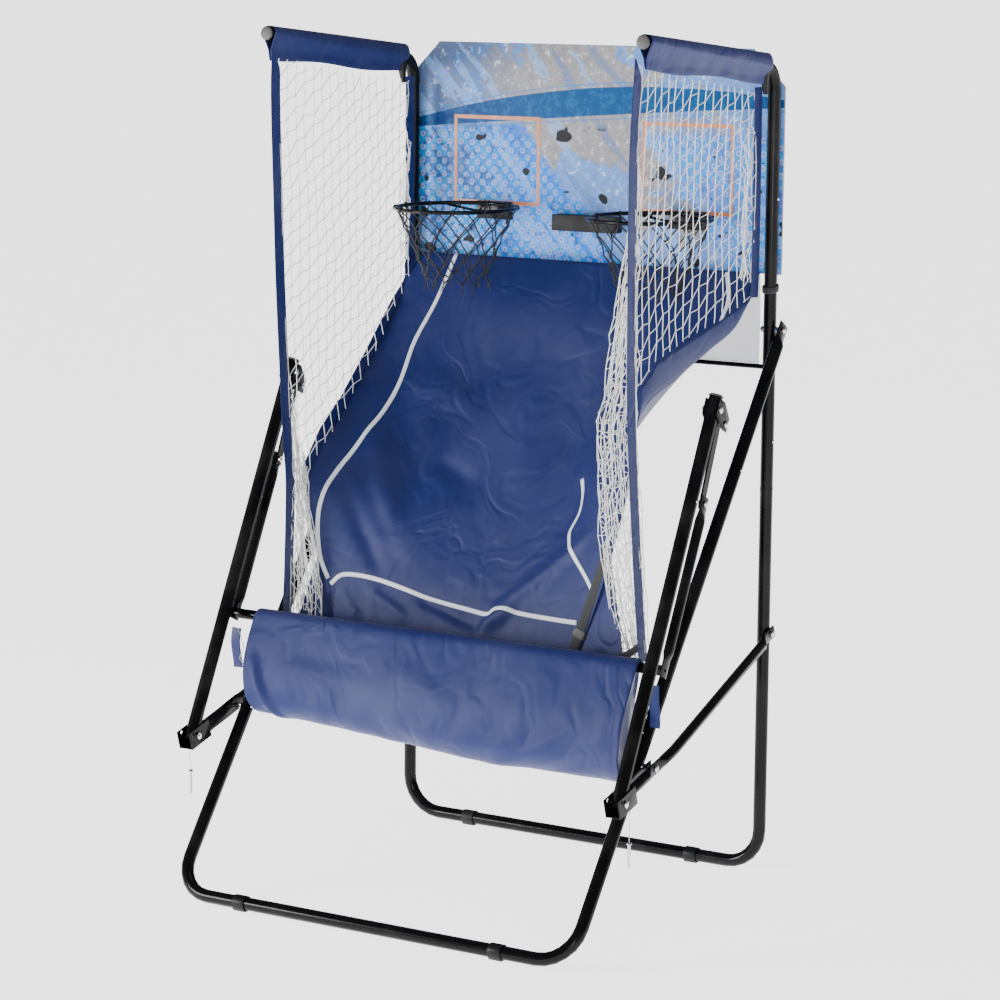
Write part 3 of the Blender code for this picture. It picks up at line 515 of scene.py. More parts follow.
def handling_group():
    """Small changes of colour and gloss from handling, and a fine uneven skin."""
    found = bpy.data.node_groups.get("handling_marks")
    if found:
        return found
    group, given, result = new_group(
        "handling_marks",
        [("Vector", "NodeSocketVector", None), ("Colour", "NodeSocketColor", (0.5, 0.5, 0.5, 1)),
         ("Dusty", "NodeSocketColor", (0.6, 0.6, 0.6, 1)), ("Amount", "NodeSocketFloat", 0.2),
         ("Roughness", "NodeSocketFloat", 0.3), ("Grain", "NodeSocketFloat", 400.0)],
        [("Colour", "NodeSocketColor"), ("Roughness", "NodeSocketFloat"),
         ("Height", "NodeSocketFloat")],
    )
    broad = speckle(group, given.outputs["Vector"], 9.0, 4.0)
    fine = speckle(group, given.outputs["Vector"], given.outputs["Grain"], 2.0)
    dusty = maths(group, "MULTIPLY", stepped(group, broad, 0.45, 0.75), given.outputs["Amount"])
    colour_out = blended(group, dusty, given.outputs["Colour"], given.outputs["Dusty"])
    change = maths(group, "MULTIPLY", maths(group, "SUBTRACT", broad, 0.5), given.outputs["Amount"])
    group.links.new(colour_out, result.inputs["Colour"])
    group.links.new(maths(group, "ADD", given.outputs["Roughness"], change),
                    result.inputs["Roughness"])
    group.links.new(fine, result.inputs["Height"])
    return group


def weave_group():
    """A plain weave: sin(2 pi u / pitch) sin(2 pi v / pitch), with slubs, fading and creases.

    Height is in metres. A crease is a soft valley where a bent noise is near a half.
    """
    found = bpy.data.node_groups.get("plain_weave")
    if found:
        return found
    group, given, result = new_group(
        "plain_weave",
        [("Vector", "NodeSocketVector", None), ("Place", "NodeSocketVector", None),
         ("Pitch", "NodeSocketFloat", 0.001), ("Colour", "NodeSocketColor", (0.1, 0.1, 0.3, 1)),
         ("Faded", "NodeSocketColor", (0.2, 0.2, 0.4, 1)), ("Fading", "NodeSocketFloat", 0.2),
         ("Crumple", "NodeSocketFloat", 0.0)],
        [("Colour", "NodeSocketColor"), ("Height", "NodeSocketFloat")],
    )
    parts = add_node(group, "ShaderNodeSeparateXYZ", {0: given.outputs["Vector"]})
    waves = []
    for axis in ("X", "Y"):
        turns = maths(group, "DIVIDE", parts.outputs[axis], given.outputs["Pitch"])
        waves.append(maths(group, "SINE", maths(group, "MULTIPLY", turns, 2 * math.pi)))
    woven = maths(group, "MULTIPLY", waves[0], waves[1])
    slub = speckle(group, given.outputs["Place"], 60.0, 2.0)
    patch = stepped(group, speckle(group, given.outputs["Place"], 4.0, 3.0), 0.35, 0.75)
    share = maths(group, "MULTIPLY", patch, given.outputs["Fading"])
    thread = maths(group, "MULTIPLY_ADD", woven, 0.05, share)
    group.links.new(blended(group, thread, given.outputs["Colour"], given.outputs["Faded"]),
                    result.inputs["Colour"])
    thread_height = maths(group, "MULTIPLY", maths(group, "MULTIPLY_ADD", slub, 0.6, woven),
                          maths(group, "MULTIPLY", given.outputs["Pitch"], 0.06))
    warp = add_node(group, "ShaderNodeTexNoise", {"Vector": given.outputs["Place"], "Scale": 3.0})
    bent = add_node(group, "ShaderNodeVectorMath", {0: given.outputs["Place"],
                    1: warp.outputs["Color"]}, operation="ADD").outputs[0]
    soft = speckle(group, bent, 5.5, 2.0, 0.4)
    ridge = maths(group, "ABSOLUTE", maths(group, "SUBTRACT", soft, 0.5))
    small = speckle(group, given.outputs["Place"], 13.0, 2.0)
    crease = maths(group, "MULTIPLY_ADD", small, 0.35, stepped(group, ridge, 0.0, 0.14))
    crease = maths(group, "MULTIPLY", crease, given.outputs["Crumple"])
    group.links.new(maths(group, "ADD", thread_height, crease), result.inputs["Height"])
    return group


def twist_group():
    """The ridges of twisted cord: slanting waves across it, loose fibres, and painted shade in the
    grooves.
    """
    found = bpy.data.node_groups.get("twisted_cord")
    if found:
        return found
    group, given, result = new_group(
        "twisted_cord",
        [("Vector", "NodeSocketVector", None), ("Pitch", "NodeSocketFloat", 0.003),
         ("Colour", "NodeSocketColor", (0.8, 0.8, 0.8, 1)),
         ("Shade", "NodeSocketColor", (0.5, 0.5, 0.5, 1))],
        [("Colour", "NodeSocketColor"), ("Height", "NodeSocketFloat")],
    )
    parts = add_node(group, "ShaderNodeSeparateXYZ", {0: given.outputs["Vector"]})
    total = maths(group, "ADD", parts.outputs["X"], parts.outputs["Y"])
    total = maths(group, "ADD", total, parts.outputs["Z"])
    turns = maths(group, "DIVIDE", total, given.outputs["Pitch"])
    ridge = maths(group, "SINE", maths(group, "MULTIPLY", turns, 2 * math.pi))
    fibre = speckle(group, given.outputs["Vector"], 900.0, 1.0)
    height = maths(group, "MULTIPLY_ADD", fibre, 0.5, ridge)
    # Painted shade: the lower the cord's surface, the more it takes the darker shade colour.
    share = stepped(group, height, 0.9, -0.6)
    group.links.new(blended(group, share, given.outputs["Colour"], given.outputs["Shade"]),
                    result.inputs["Colour"])
    group.links.new(height, result.inputs["Height"])
    return group


def new_material(name):
    """A material with an empty tree, and its surface shader and coordinates."""
    made = bpy.data.materials.new(name)
    made.use_nodes = True
    tree = made.node_tree
    tree.nodes.clear()
    surface = tree.nodes.new("ShaderNodeBsdfPrincipled")
    output = tree.nodes.new("ShaderNodeOutputMaterial")
    tree.links.new(surface.outputs[0], output.inputs[0])
    place = tree.nodes.new("ShaderNodeTexCoord")
    return made, tree, surface, place


def raised(tree, surface, height, distance, strength):
    """Raises a surface by a height times a distance, through its normal."""
    bump = add_node(tree, "ShaderNodeBump", {"Height": height, "Distance": distance,
                                             "Strength": strength})
    tree.links.new(bump.outputs[0], surface.inputs["Normal"])


def coated(name, base, dusty, amount, roughness, grain, distance, **sockets):
    """A hard finish: painted, plated or moulded."""
    found = bpy.data.materials.get(name)
    if found:
        return found
    made, tree, surface, place = new_material(name)
    marks = add_node(tree, "ShaderNodeGroup", node_tree=handling_group())
    for key, value in (("Colour", opaque(base)), ("Dusty", opaque(dusty)), ("Amount", amount),
                       ("Roughness", roughness), ("Grain", grain)):
        marks.inputs[key].default_value = value
    tree.links.new(place.outputs["Object"], marks.inputs["Vector"])
    tree.links.new(marks.outputs["Colour"], surface.inputs["Base Color"])
    tree.links.new(marks.outputs["Roughness"], surface.inputs["Roughness"])
    raised(tree, surface, marks.outputs["Height"], distance, 0.4)
    for key, value in sockets.items():
        surface.inputs[key.replace("_", " ")].default_value = value
    return made


def woven(name, base, faded, fading, pitch, roughness, crumple=0.0, **sockets):
    """A cloth: the weave follows the piece's UV map, which is in metres."""
    found = bpy.data.materials.get(name)
    if found:
        return found
    made, tree, surface, place = new_material(name)
    weave = add_node(tree, "ShaderNodeGroup", node_tree=weave_group())
    for key, value in (("Colour", opaque(base)), ("Faded", opaque(faded)), ("Fading", fading),
                       ("Pitch", pitch), ("Crumple", crumple)):
        weave.inputs[key].default_value = value
    tree.links.new(place.outputs["UV"], weave.inputs["Vector"])
    tree.links.new(place.outputs["Object"], weave.inputs["Place"])
    tree.links.new(weave.outputs["Colour"], surface.inputs["Base Color"])
    raised(tree, surface, weave.outputs["Height"], 1.0, 0.9)
    surface.inputs["Roughness"].default_value = roughness
    for key, value in sockets.items():
        surface.inputs[key.replace("_", " ")].default_value = value
    return made


def corded(name, base, shade, pitch, roughness, fuzz=0.3):
    """A twisted cord, its grooves painted in the shade colour as painted shade."""
    found = bpy.data.materials.get(name)
    if found:
        return found
    made, tree, surface, place = new_material(name)
    twist = add_node(tree, "ShaderNodeGroup", node_tree=twist_group())
    for key, value in (("Colour", opaque(base)), ("Shade", opaque(shade)), ("Pitch", pitch)):
        twist.inputs[key].default_value = value
    tree.links.new(place.outputs["Object"], twist.inputs["Vector"])
    tree.links.new(twist.outputs["Colour"], surface.inputs["Base Color"])
    raised(tree, surface, twist.outputs["Height"], pitch * 0.1, 0.6)
    surface.inputs["Roughness"].default_value = roughness
    surface.inputs["Sheen Weight"].default_value = fuzz
    return made


def darker(rgb, share):
    """The colour times a share."""
    return tuple(value * share for value in rgb)


def lighter(rgb, share):
    """The colour, a share of the way to white: c + (1 - c) share."""
    return tuple(value + (1 - value) * share for value in rgb)


def tube_finish():
    """Gloss black powder coat."""
    look = bpy.context.scene.hoop_frame
    return coated("gloss_black_tube", look.tube_colour, lighter(look.tube_colour, 0.03), 0.3,
                  look.tube_gloss, 260.0, 0.00012, Coat_Weight=0.12, Coat_Roughness=0.10,
                  Specular_IOR_Level=0.08)


def zinc_finish():
    """Bright zinc plate."""
    look = bpy.context.scene.hoop_frame
    return coated("bright_zinc", look.zinc_colour, darker(look.zinc_colour, 0.55), 0.5,
                  look.bolt_polish, 900.0, 0.00006, Metallic=1.0)


def plastic_finish():
    """Black moulded plastic."""
    look = bpy.context.scene.hoop_frame
    return coated("black_moulding", look.plastic_colour, lighter(look.plastic_colour, 0.04), 0.6,
                  0.46, 1300.0, 0.00010, Specular_IOR_Level=0.18)


def grey_plastic_finish():
    """Dusty grey plastic of the end caps and the buckle."""
    return coated("grey_end_cap", linear(72, 70, 68), linear(120, 118, 114), 0.5, 0.55, 1200.0,
                  0.00012)


def navy_finish():
    """Crumpled navy nylon."""
    look = bpy.context.scene.hoop_cloth
    return woven("navy_nylon", look.colour, lighter(look.colour, 0.05), 0.30, look.thread, 0.46,
                 0.0017, Sheen_Weight=0.08, Sheen_Roughness=0.45, Sheen_Tint=(0.55, 0.58, 1.0, 1.0),
                 Specular_IOR_Level=0.28)


def line_finish():
    """White tape of the court lines."""
    look = bpy.context.scene.hoop_cloth
    return woven("white_court_line", look.line_colour, darker(look.line_colour, 0.8), 0.4,
                 0.0016, 0.5)


def webbing_finish():
    """Black webbing."""
    return woven("black_webbing", linear(16, 17, 22), linear(40, 42, 50), 0.4, 0.0022, 0.7,
                 Sheen_Weight=0.2)


def net_finish():
    """White twine of the side nets."""
    look = bpy.context.scene.hoop_nets
    return corded("white_twine", look.colour, darker(look.colour, 0.72), 0.0028, 0.75)


def black_cord_finish():
    """Black braid of the hoop nets."""
    return corded("black_braid", linear(8, 8, 9), linear(22, 22, 24), 0.0040, 0.6, 0.05)


def string_finish():
    """White string of the pins and tabs."""
    return corded("white_string", linear(232, 231, 226), linear(170, 168, 160), 0.0022, 0.7)


def film_finish():
    """The see-through pale film behind the ramp's top."""
    made, tree, surface, place = new_material("pale_film")
    cloudy = speckle(tree, place.outputs["Object"], 7.0, 3.0)
    clear = blended(tree, cloudy, opaque(linear(226, 227, 230)), opaque(linear(244, 244, 246)))
    tree.links.new(clear, surface.inputs["Base Color"])
    surface.inputs["Roughness"].default_value = 0.35
    surface.inputs["Alpha"].default_value = 0.55
    raised(tree, surface, cloudy, 0.002, 0.3)
    return made


def target_finish():
    """Orange ink of the target squares."""
    look = bpy.context.scene.hoop_print
    return coated("orange_target", look.target_colour, lighter(look.target_colour, 0.3), 0.7,
                  0.4, 500.0, 0.00004)


def times(tree, *values):
    """The product of the values."""
    total = values[0]
    for value in values[1:]:
        total = maths(tree, "MULTIPLY", total, value)
    return total


def painted(tree, ground, paint, *masks):
    """The ground with an sRGB paint laid over it, by the product of the masks."""
    return blended(tree, times(tree, *masks), ground, opaque(linear(*paint)))


def ringed(tree, across, up, pitch):
    """Masks of the print's rings and of the dots in them, on a grid turned by an eighth."""
    found = []
    for first, second, sign in ((across, up, 1.0), (up, across, -1.0)):
        turned_axis = maths(tree, "MULTIPLY_ADD", second, sign, first)
        cell = maths(tree, "DIVIDE", turned_axis, pitch * math.sqrt(2))
        inside = maths(tree, "SUBTRACT", maths(tree, "FRACT", cell), 0.5)
        found.append(times(tree, inside, inside))
    away = maths(tree, "SQRT", maths(tree, "ADD", *found))
    ring = times(tree, stepped(tree, away, 0.13, 0.19), stepped(tree, away, 0.34, 0.28))
    return ring, stepped(tree, away, 0.16, 0.11)


def swept_band(tree, across, up, mid):
    """Masks of the deep sweep and of the thin line along it.

    The sweep lies round up = 1.872 + 0.075 x - 0.10 x^2, and is 0.034 - 0.085 x^2 to each side.
    """
    bend = times(tree, across, across)
    crest = maths(tree, "MULTIPLY_ADD", bend, -0.10,
                  maths(tree, "MULTIPLY_ADD", across, 0.075, 1.872))
    gap = maths(tree, "ABSOLUTE", maths(tree, "SUBTRACT", up, crest))
    wide = maths(tree, "MULTIPLY_ADD", bend, -0.085, 0.034)
    torn = maths(tree, "SUBTRACT", maths(tree, "MULTIPLY_ADD", mid, 0.006, gap), wide)
    past = maths(tree, "SUBTRACT", gap, wide)
    line = times(tree, stepped(tree, past, 0.013, 0.010), stepped(tree, past, 0.006, 0.009))
    return stepped(tree, torn, 0.0045, 0.0015), line


def brushed(tree, rough, slant, up):
    """The noise that the brush strokes are cut from: drawn out upwards, with torn sides."""
    torn = maths(tree, "MULTIPLY_ADD", rough, 0.05, slant)
    drawn = add_node(tree, "ShaderNodeCombineXYZ",
                     {0: times(tree, torn, 15.0), 2: times(tree, up, 3.5)})
    return add_node(tree, "ShaderNodeTexNoise", {"Vector": drawn.outputs[0], "Scale": 1.0,
                                                 "Detail": 3.0}).outputs["Fac"]


def print_finish():
    """The backboard's print: grey and blue patches, a deep sweep, rings, streaks and blots."""
    look = bpy.context.scene.hoop_print
    made, tree, surface, place = new_material("board_print")
    spot = place.outputs["Object"]
    axes = add_node(tree, "ShaderNodeSeparateXYZ", {0: spot})
    across, up = axes.outputs["X"], axes.outputs["Z"]
    broad, mid = speckle(tree, spot, 3.2, 4.0), speckle(tree, spot, 11.0, 6.0, 0.7)
    rough, fine = speckle(tree, spot, 42.0, 8.0, 0.75), speckle(tree, spot, 95.0, 3.0, 0.7)
    slant = maths(tree, "MULTIPLY_ADD", up, 0.8, across)
    left, right = stepped(tree, across, -0.16, -0.42), stepped(tree, across, 0.05, 0.30)

    # Grey and pale blue patches, cooler to the left, with worn and pale spots.
    cloudy = maths(tree, "ADD", times(tree, broad, 0.62), times(tree, mid, 0.38))
    ground = blended(tree, stepped(tree, cloudy, 0.49, 0.51), opaque(look.grey), opaque(look.sky))
    ground = painted(tree, ground, (66, 98, 152), left, 0.8)
    ground = painted(tree, ground, (108, 112, 124), stepped(tree, rough, 0.50, 0.40), 0.45)
    ground = painted(tree, ground, (206, 212, 224), stepped(tree, rough, 0.57, 0.60), 0.7)

    # The bright fields low on both sides of a slanting grey gap.
    low = stepped(tree, maths(tree, "MULTIPLY_ADD", mid, 0.06, up), 1.845, 1.825)
    middle = maths(tree, "ABSOLUTE", maths(tree, "ADD", slant, -1.42))
    reach = maths(tree, "MULTIPLY_ADD", rough, 0.10,
                  maths(tree, "MULTIPLY_ADD", mid, 0.16, middle))
    fields = times(tree, low, stepped(tree, reach, 0.28, 0.30))
    cold = painted(tree, opaque(look.bright), (52, 92, 150), left)
    cold = painted(tree, cold, (98, 138, 204), right, 0.55)
    glow = times(tree, stepped(tree, rough, 0.44, 0.50), stepped(tree, mid, 0.40, 0.55))
    cold = painted(tree, cold, (0, 150, 232), glow, 0.85)
    cold = painted(tree, cold, (10, 58, 128), stepped(tree, rough, 0.46, 0.40), 0.5)
    ground = blended(tree, fields, ground, cold)

    # Pale and dark brush strokes, then rings with dots in the fields.
    streaks = brushed(tree, rough, slant, up)
    ground = painted(tree, ground, (128, 176, 240), stepped(tree, streaks, 0.565, 0.585),
                     stepped(tree, rough, 0.36, 0.44), 0.5)
    ground = painted(tree, ground, (60, 108, 176), stepped(tree, streaks, 0.42, 0.405),
                     stepped(tree, rough, 0.42, 0.48), 0.55)
    ring, dot = ringed(tree, across, up, look.dot_pitch)
    worn = times(tree, fields, stepped(tree, mid, 0.34, 0.50), stepped(tree, rough, 0.34, 0.46))
    ground = painted(tree, ground, (182, 168, 210), ring, worn, 0.75)
    ground = painted(tree, ground, (64, 146, 214), dot, worn, 0.8)

    # The sweep across the top with its line, and dark blots over everything.
    band, line = swept_band(tree, across, up, mid)
    deep = painted(tree, opaque(look.teal), (14, 52, 108), left)
    deep = painted(tree, deep, (24, 104, 156), stepped(tree, rough, 0.46, 0.60), 0.5)
    ground = blended(tree, band, ground, deep)
    ground = painted(tree, ground, (36, 120, 186), line, 0.6)
    blots = times(tree, stepped(tree, speckle(tree, spot, 19.0, 1.0), 0.700, 0.708), low)
    specks = times(tree, stepped(tree, speckle(tree, spot, 90.0, 1.0), 0.735, 0.750), fields)
    ground = painted(tree, ground, (30, 30, 36), maths(tree, "MAXIMUM", blots, specks))

    # Only the front is printed.
    facing = add_node(tree, "ShaderNodeSeparateXYZ",
                      {0: add_node(tree, "ShaderNodeNewGeometry").outputs["Normal"]})
    front = stepped(tree, facing.outputs["Y"], -0.5, -0.8)
    ground = blended(tree, front, opaque(linear(176, 177, 180)), ground)
    tree.links.new(ground, surface.inputs["Base Color"])
    tree.links.new(maths(tree, "MULTIPLY_ADD", fine, 0.15, 0.42), surface.inputs["Roughness"])
    surface.inputs["Specular IOR Level"].default_value = 0.12
    raised(tree, surface, fine, 0.0001, 0.3)
    return made


def floor_finish():
    """A pale floor that also glows, like a lit white sheet."""
    look = bpy.context.scene.hoop_stage
    return coated("pale_floor", look.floor_colour, darker(look.floor_colour, 0.97), 0.3, 0.75,
                  30.0, 0.0002, Emission_Color=(1.0, 1.0, 1.0, 1.0), Emission_Strength=FLOOR_GLOW)


# ---------------------------------------------------------------- frame and fittings


def cad_copy(node, finish, bevel=0.0):
    """A copy of a CAD node with its corners merged and its round faces smooth."""
    source = frame["nodes"][node]
    count = len(source.data.vertices)
    points = np.empty(count * 3, np.float32)
    source.data.vertices.foreach_get("co", points)
    points = points.reshape(-1, 3)
    _, first, same = np.unique(np.round(points, 6), axis=0, return_index=True, return_inverse=True)
    source.data.calc_loop_triangles()
    corners = np.empty(len(source.data.loop_triangles) * 3, np.int32)
    source.data.loop_triangles.foreach_get("vertices", corners)
    faces = same.reshape(-1)[corners].reshape(-1, 3)
    kept = (faces != np.roll(faces, 1, axis=1)).all(axis=1)
    piece = make_piece(node + "_skin", (points[first], [faces[kept]]), finish)
    if bevel:
        settle(piece, ("BEVEL", {"width": bevel, "segments": 3, "limit_method": "ANGLE",
                                 "angle_limit": math.radians(50)}))
        piece.data.polygons.foreach_set("use_smooth", np.full(len(piece.data.polygons), True))
        piece.data.set_sharp_from_angle(angle=math.radians(50))
    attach(piece, source["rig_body"])
    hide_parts(node)
    return piece


def dress_frame():
    """Tubes, brackets, clips and bolts: their own shapes, smoothed, with their finishes."""
    soft = ("net", "sleeve", "ramp", "trough", "lanyard", "lock_pin", "hoop_rim", "backboard")
    for node in sorted(frame["nodes"]):
        if node.endswith(soft):
            continue
        if "bolt" in node:
            cad_copy(node, zinc_finish())
        elif node.endswith("_foot"):
            cad_copy(node, plastic_finish(), 0.0006)
        elif node == "scorer_housing":
            cad_copy(node, plastic_finish(), 0.003)
        elif node.endswith(("bracket", "fork", "plate")):
            cad_copy(node, tube_finish(), 0.0005)
        else:
            cad_copy(node, tube_finish())


def on_upright(side, distance):
    """A point of an upright's line, at a distance up from its foot."""
    return np.array([side * UPRIGHT_X, *UPRIGHT_FOOT]) + UPRIGHT_DIR * distance


def on_folded_arm(side, distance):
    """A point of a folded arm's line, at a distance up from its lower end."""
    return FOLD_FOOT + FOLD_DIR * distance + [side * FOLD_X, 0, 0]


def end_cap(name, centre, axis, radius, body):
    """A plug in a tube's end: a rim on the end and a shallow dome, turned round the tube's line."""
    stations = [(-0.002, radius * 0.8), (0.0004, radius + 0.0004), (0.003, radius + 0.0006),
                (0.0046, radius - 0.0006), (0.0052, radius - 0.003), (0.0060, radius * 0.45),
                (0.0062, radius * 0.1)]
    piece = make_piece(name, turned(centre, axis, stations, 32), grey_plastic_finish())
    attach(piece, body)


def seam_ring(name, centre, axis, radius, body):
    """A narrow rolled band round a tube."""
    stations = [(-0.0030, radius - 0.0004), (-0.0026, radius + 0.0005), (0.0026, radius + 0.0005),
                (0.0030, radius - 0.0004)]
    piece = make_piece(name, turned(centre, axis, stations, 32), tube_finish())
    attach(piece, body)


def corner_collar(side):
    """A ring of webbing round an upright beside the ramp's upper corner, a little askew.

    Its path round the tube at angle a is (r cos a, r sin a, 0.004 sin a) with r = 0.0185.
    """
    angle = np.linspace(0, 2 * math.pi, 49)[:-1]
    around = np.stack([0.0185 * np.cos(angle), 0.0185 * np.sin(angle), 0.004 * np.sin(angle)], 1)
    path = on_upright(side, COLLAR_HEIGHT) + np.vstack([around, around[:2]])
    collar = make_piece(side_name(side, "corner_collar"),
                        swept(path, (0.008, 0.0022), 12, (0, 0, 1), 0.7), webbing_finish())
    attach(collar, "root")


def sleeve_clip(side):
    """A clip under the rear end of a sleeve, narrower and further back towards its foot."""
    line = np.linspace(0, 1, 9)[:, None]
    top = ARM_CORNER + [side * UPRIGHT_X, 0, 0] + ARM_DIR * 0.052
    path = top - ARM_UP * 0.014 - ARM_UP * 0.050 * line - ARM_DIR * (0.004 + 0.012 * line**2)
    half = np.hstack([0.0105 - 0.005 * line, 0.013 - 0.0075 * line])
    clip = make_piece(side_name(side, "sleeve_clip"), swept(path, half, 20, squareness=0.6),
                      plastic_finish())
    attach(clip, "root")


def dress_ends():
    """End caps of the arms, and the clips and collars on the uprights."""
    for side in (-1, 1):
        tip = ARM_CORNER + ARM_DIR * ARM_REACH + [side * UPRIGHT_X, 0, 0]
        end_cap(side_name(side, "arm_cap"), tip, ARM_DIR, TUBE_RADIUS, "root")
        end_cap(side_name(side, "folded_arm_cap"), on_folded_arm(side, FOLD_LENGTH), FOLD_DIR,
                FOLD_RADIUS, "folded_arms")
        corner_collar(side)
        sleeve_clip(side)


def dress_buttons():
    """The round catches that join the tubes' lengths, and the fine lines where they meet."""
    head = [(-0.0010, 0.0040), (0.0006, 0.0043), (0.0018, 0.0036), (0.0026, 0.0020),
            (0.0028, 0.0003)]
    leg_way = unit(np.array([0.0, 0.6784, 0.9294]))
    for side in (-1, 1):
        leg = np.array([side * 0.552, 0.4768, 1.3448]) - leg_way * 0.381
        places = [("upright_button_low", on_upright(side, 1.055), 0.0154, "root"),
                  ("upright_button_high", on_upright(side, 1.640), 0.0154, "root"),
                  ("leg_button", leg, 0.0154, "front_stand"),
                  ("folded_arm_button", on_folded_arm(side, 0.715), 0.0156, "folded_arms")]
        for name, centre, out, body in places:
            shape = turned(centre + [side * out, 0, 0], (side, 0, 0), head, 20)
            button = make_piece(side_name(side, name), shape, zinc_finish())
            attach(button, body)
        rings = [("upright_joint", on_upright(side, 0.939), UPRIGHT_DIR, "root"),
                 ("upright_joint_high", on_upright(side, 1.330), UPRIGHT_DIR, "root"),
                 ("folded_arm_joint", on_folded_arm(side, 0.612), FOLD_DIR, "folded_arms")]
        for name, centre, way, body in rings:
            seam_ring(side_name(side, name), centre, way, 0.0159, body)


# ---------------------------------------------------------------- board and hoops


def dress_board():
    """The printed board with its two target squares, each a square line of even width."""
    look = bpy.context.scene.hoop_print
    board = cad_copy("backboard", print_finish(), 0.0008)
    low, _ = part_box("backboard")
    front = np.array([0, low.y - 0.0004, low.z])
    angle = np.arange(4) * math.pi / 2 + math.pi / 4
    corner = np.stack([np.cos(angle), np.sin(angle)], 1) * math.sqrt(2)
    for side in (-1, 1):
        centre = front + UPRIGHT_DIR * (TARGET_HEIGHT - low.z) + [side * TARGET_X, 0, 0]
        rings = []
        for inset in (0.0, look.target_width):
            flat = corner * (TARGET_HALF - inset)
            rings.append(centre + flat[:, :1] * [1, 0, 0] + flat[:, 1:] * UPRIGHT_DIR)
        shape = (np.vstack(rings), [grid_faces(2, 4, round_columns=True)])
        square = make_piece(side_name(side, "target"), shape, target_finish(), smooth=False)
        settle(square, ("SOLIDIFY", {"thickness": 0.0005, "offset": 0.0}))
        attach(square, "root")


def rim_shape(centre):
    """A rod ring round the vertical, with two stems back to the plate and two braces below."""
    angle = np.linspace(0, 2 * math.pi, 97)[:-1]
    ring = centre + HOOP_RADIUS * np.stack([np.sin(angle), np.cos(angle), 0 * angle], 1)
    points, _ = swept(ring, (HOOP_ROD, HOOP_ROD), 16, (0, 0, 1))
    shapes = [(points, [grid_faces(96, 16, True, True)])]
    back = math.sqrt(HOOP_RADIUS**2 - HOOP_STEM_X**2)
    for across in (-HOOP_STEM_X, HOOP_STEM_X):
        path = [centre + [across, back + share * (0.178 - back), 0] for share in (0, 0.5, 1)]
        shapes.append(swept(path, (0.004, 0.004), 12, (0, 0, 1)))
    for across in (-1, 1):
        brace = np.array([(across * 0.098, 0.112, -0.004), (across * 0.066, 0.150, -0.016),
                          (across * 0.040, 0.176, -0.024)])
        shapes.append(swept(smooth_line(centre + brace, 12), (0.0032, 0.0032), 10, (0, 0, 1)))
    return joined(*shapes)


def hoop_net_shape(centre, loops, cord, seed):
    """A funnel of cord: rows of knots half a mesh apart round shrinking rings, joined slantwise.

    Knot (row, loop) lies at angle 2 pi (loop + row / 2) / loops, at radius and drop given by
    the row, plus a small seeded scatter that grows downwards.
    """
    drops = np.array([0.004, 0.044, 0.086, 0.124, 0.158, 0.182])
    radii = np.array([HOOP_RADIUS, 0.1330, 0.1130, 0.0960, 0.0840, 0.0780])
    row, loop = np.meshgrid(np.arange(6), np.arange(loops), indexing="ij")
    angle = 2 * math.pi * (loop + row / 2) / loops
    scatter = np.random.default_rng(seed).normal(0, 1, (6, loops, 3)) * 0.0035
    scatter = scatter * np.clip(row, 0, 3)[..., None] / 3
    centres = np.stack([np.sin(angle) * radii[row], np.cos(angle) * radii[row], -drops[row]], -1)
    centres = centre + centres + scatter
    starts = np.repeat(centres[:-1].reshape(-1, 3), 2, axis=0)
    ends = np.stack([centres[1:], np.roll(centres[1:], 1, axis=1)], axis=2).reshape(-1, 3)
    share = np.linspace(0, 1, 5)
    slack = (share * (1 - share) * 4)[None, :, None]
    path = starts[:, None] + (ends - starts)[:, None] * share[None, :, None]
    inward = unit((centre - path) * [1, 1, 0])
    path = path + inward * slack * 0.004
    shapes = [strands(path[:, :-1].reshape(-1, 3), path[:, 1:].reshape(-1, 3), cord / 2, 6),
              knots(centres[1:].reshape(-1, 3), cord * 0.95)]
    tails = centres[-1]
    pull = np.random.default_rng(seed + 1).normal(0, 1, (2, loops, 3)) * [0.006, 0.006, 0.0]
    low_tails = tails[None] + pull + [0, 0, -0.022]
    shapes.append(strands(np.concatenate([tails, tails]), low_tails.reshape(-1, 3), cord * 0.28, 4))
    turn = np.linspace(0, 2 * math.pi, 13)[:-1]
    wraps = []
    for k in range(loops):
        out = np.array([math.sin(2 * math.pi * k / loops), math.cos(2 * math.pi * k / loops), 0])
        around = np.cos(turn)[:, None] * out + np.sin(turn)[:, None] * [0, 0, 1]
        ring = centre + out * HOOP_RADIUS + 0.0062 * around
        wrap, _ = swept(np.vstack([ring, ring[:1]]), (cord * 0.42, cord * 0.42), 8,
                        np.cross(out, [0, 0, 1]))
        wraps.append((wrap, [grid_faces(13, 8, round_columns=True)]))
    return joined(*shapes, *wraps)


def dress_hoops():
    """Both rod rims and the black cord nets under them."""
    look = bpy.context.scene.hoop_nets
    for side, across in zip((-1, 1), HOOP_CENTRES):
        low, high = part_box(side_name(side, "hoop_rim"))
        centre = np.array([across, low.y + HOOP_RADIUS + HOOP_ROD, (low.z + high.z) / 2])
        rim = make_piece(side_name(side, "rim_rod"), rim_shape(centre), tube_finish())
        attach(rim, "root")
        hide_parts(side_name(side, "hoop_rim"))
        shape = hoop_net_shape(centre, look.hoop_loops, look.hoop_cord, 11 + side)
        net = make_piece(side_name(side, "hoop_cords"), shape, black_cord_finish())
        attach(net, "root")
        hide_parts(side_name(side, "hoop_net"))


# ---------------------------------------------------------------- side nets


def read_line(line, where):
    """The second column of a line of points at values of the first."""
    line = np.asarray(line, float)
    order = np.argsort(line[:, 0])
    return np.interp(where, line[order, 0], line[order, 1])


def strap_y(line, height):
    """Where a strap's middle lies front to back at a height."""
    line = np.asarray(line, float)[::-1]
    return np.interp(height, line[:, 1], line[:, 0])


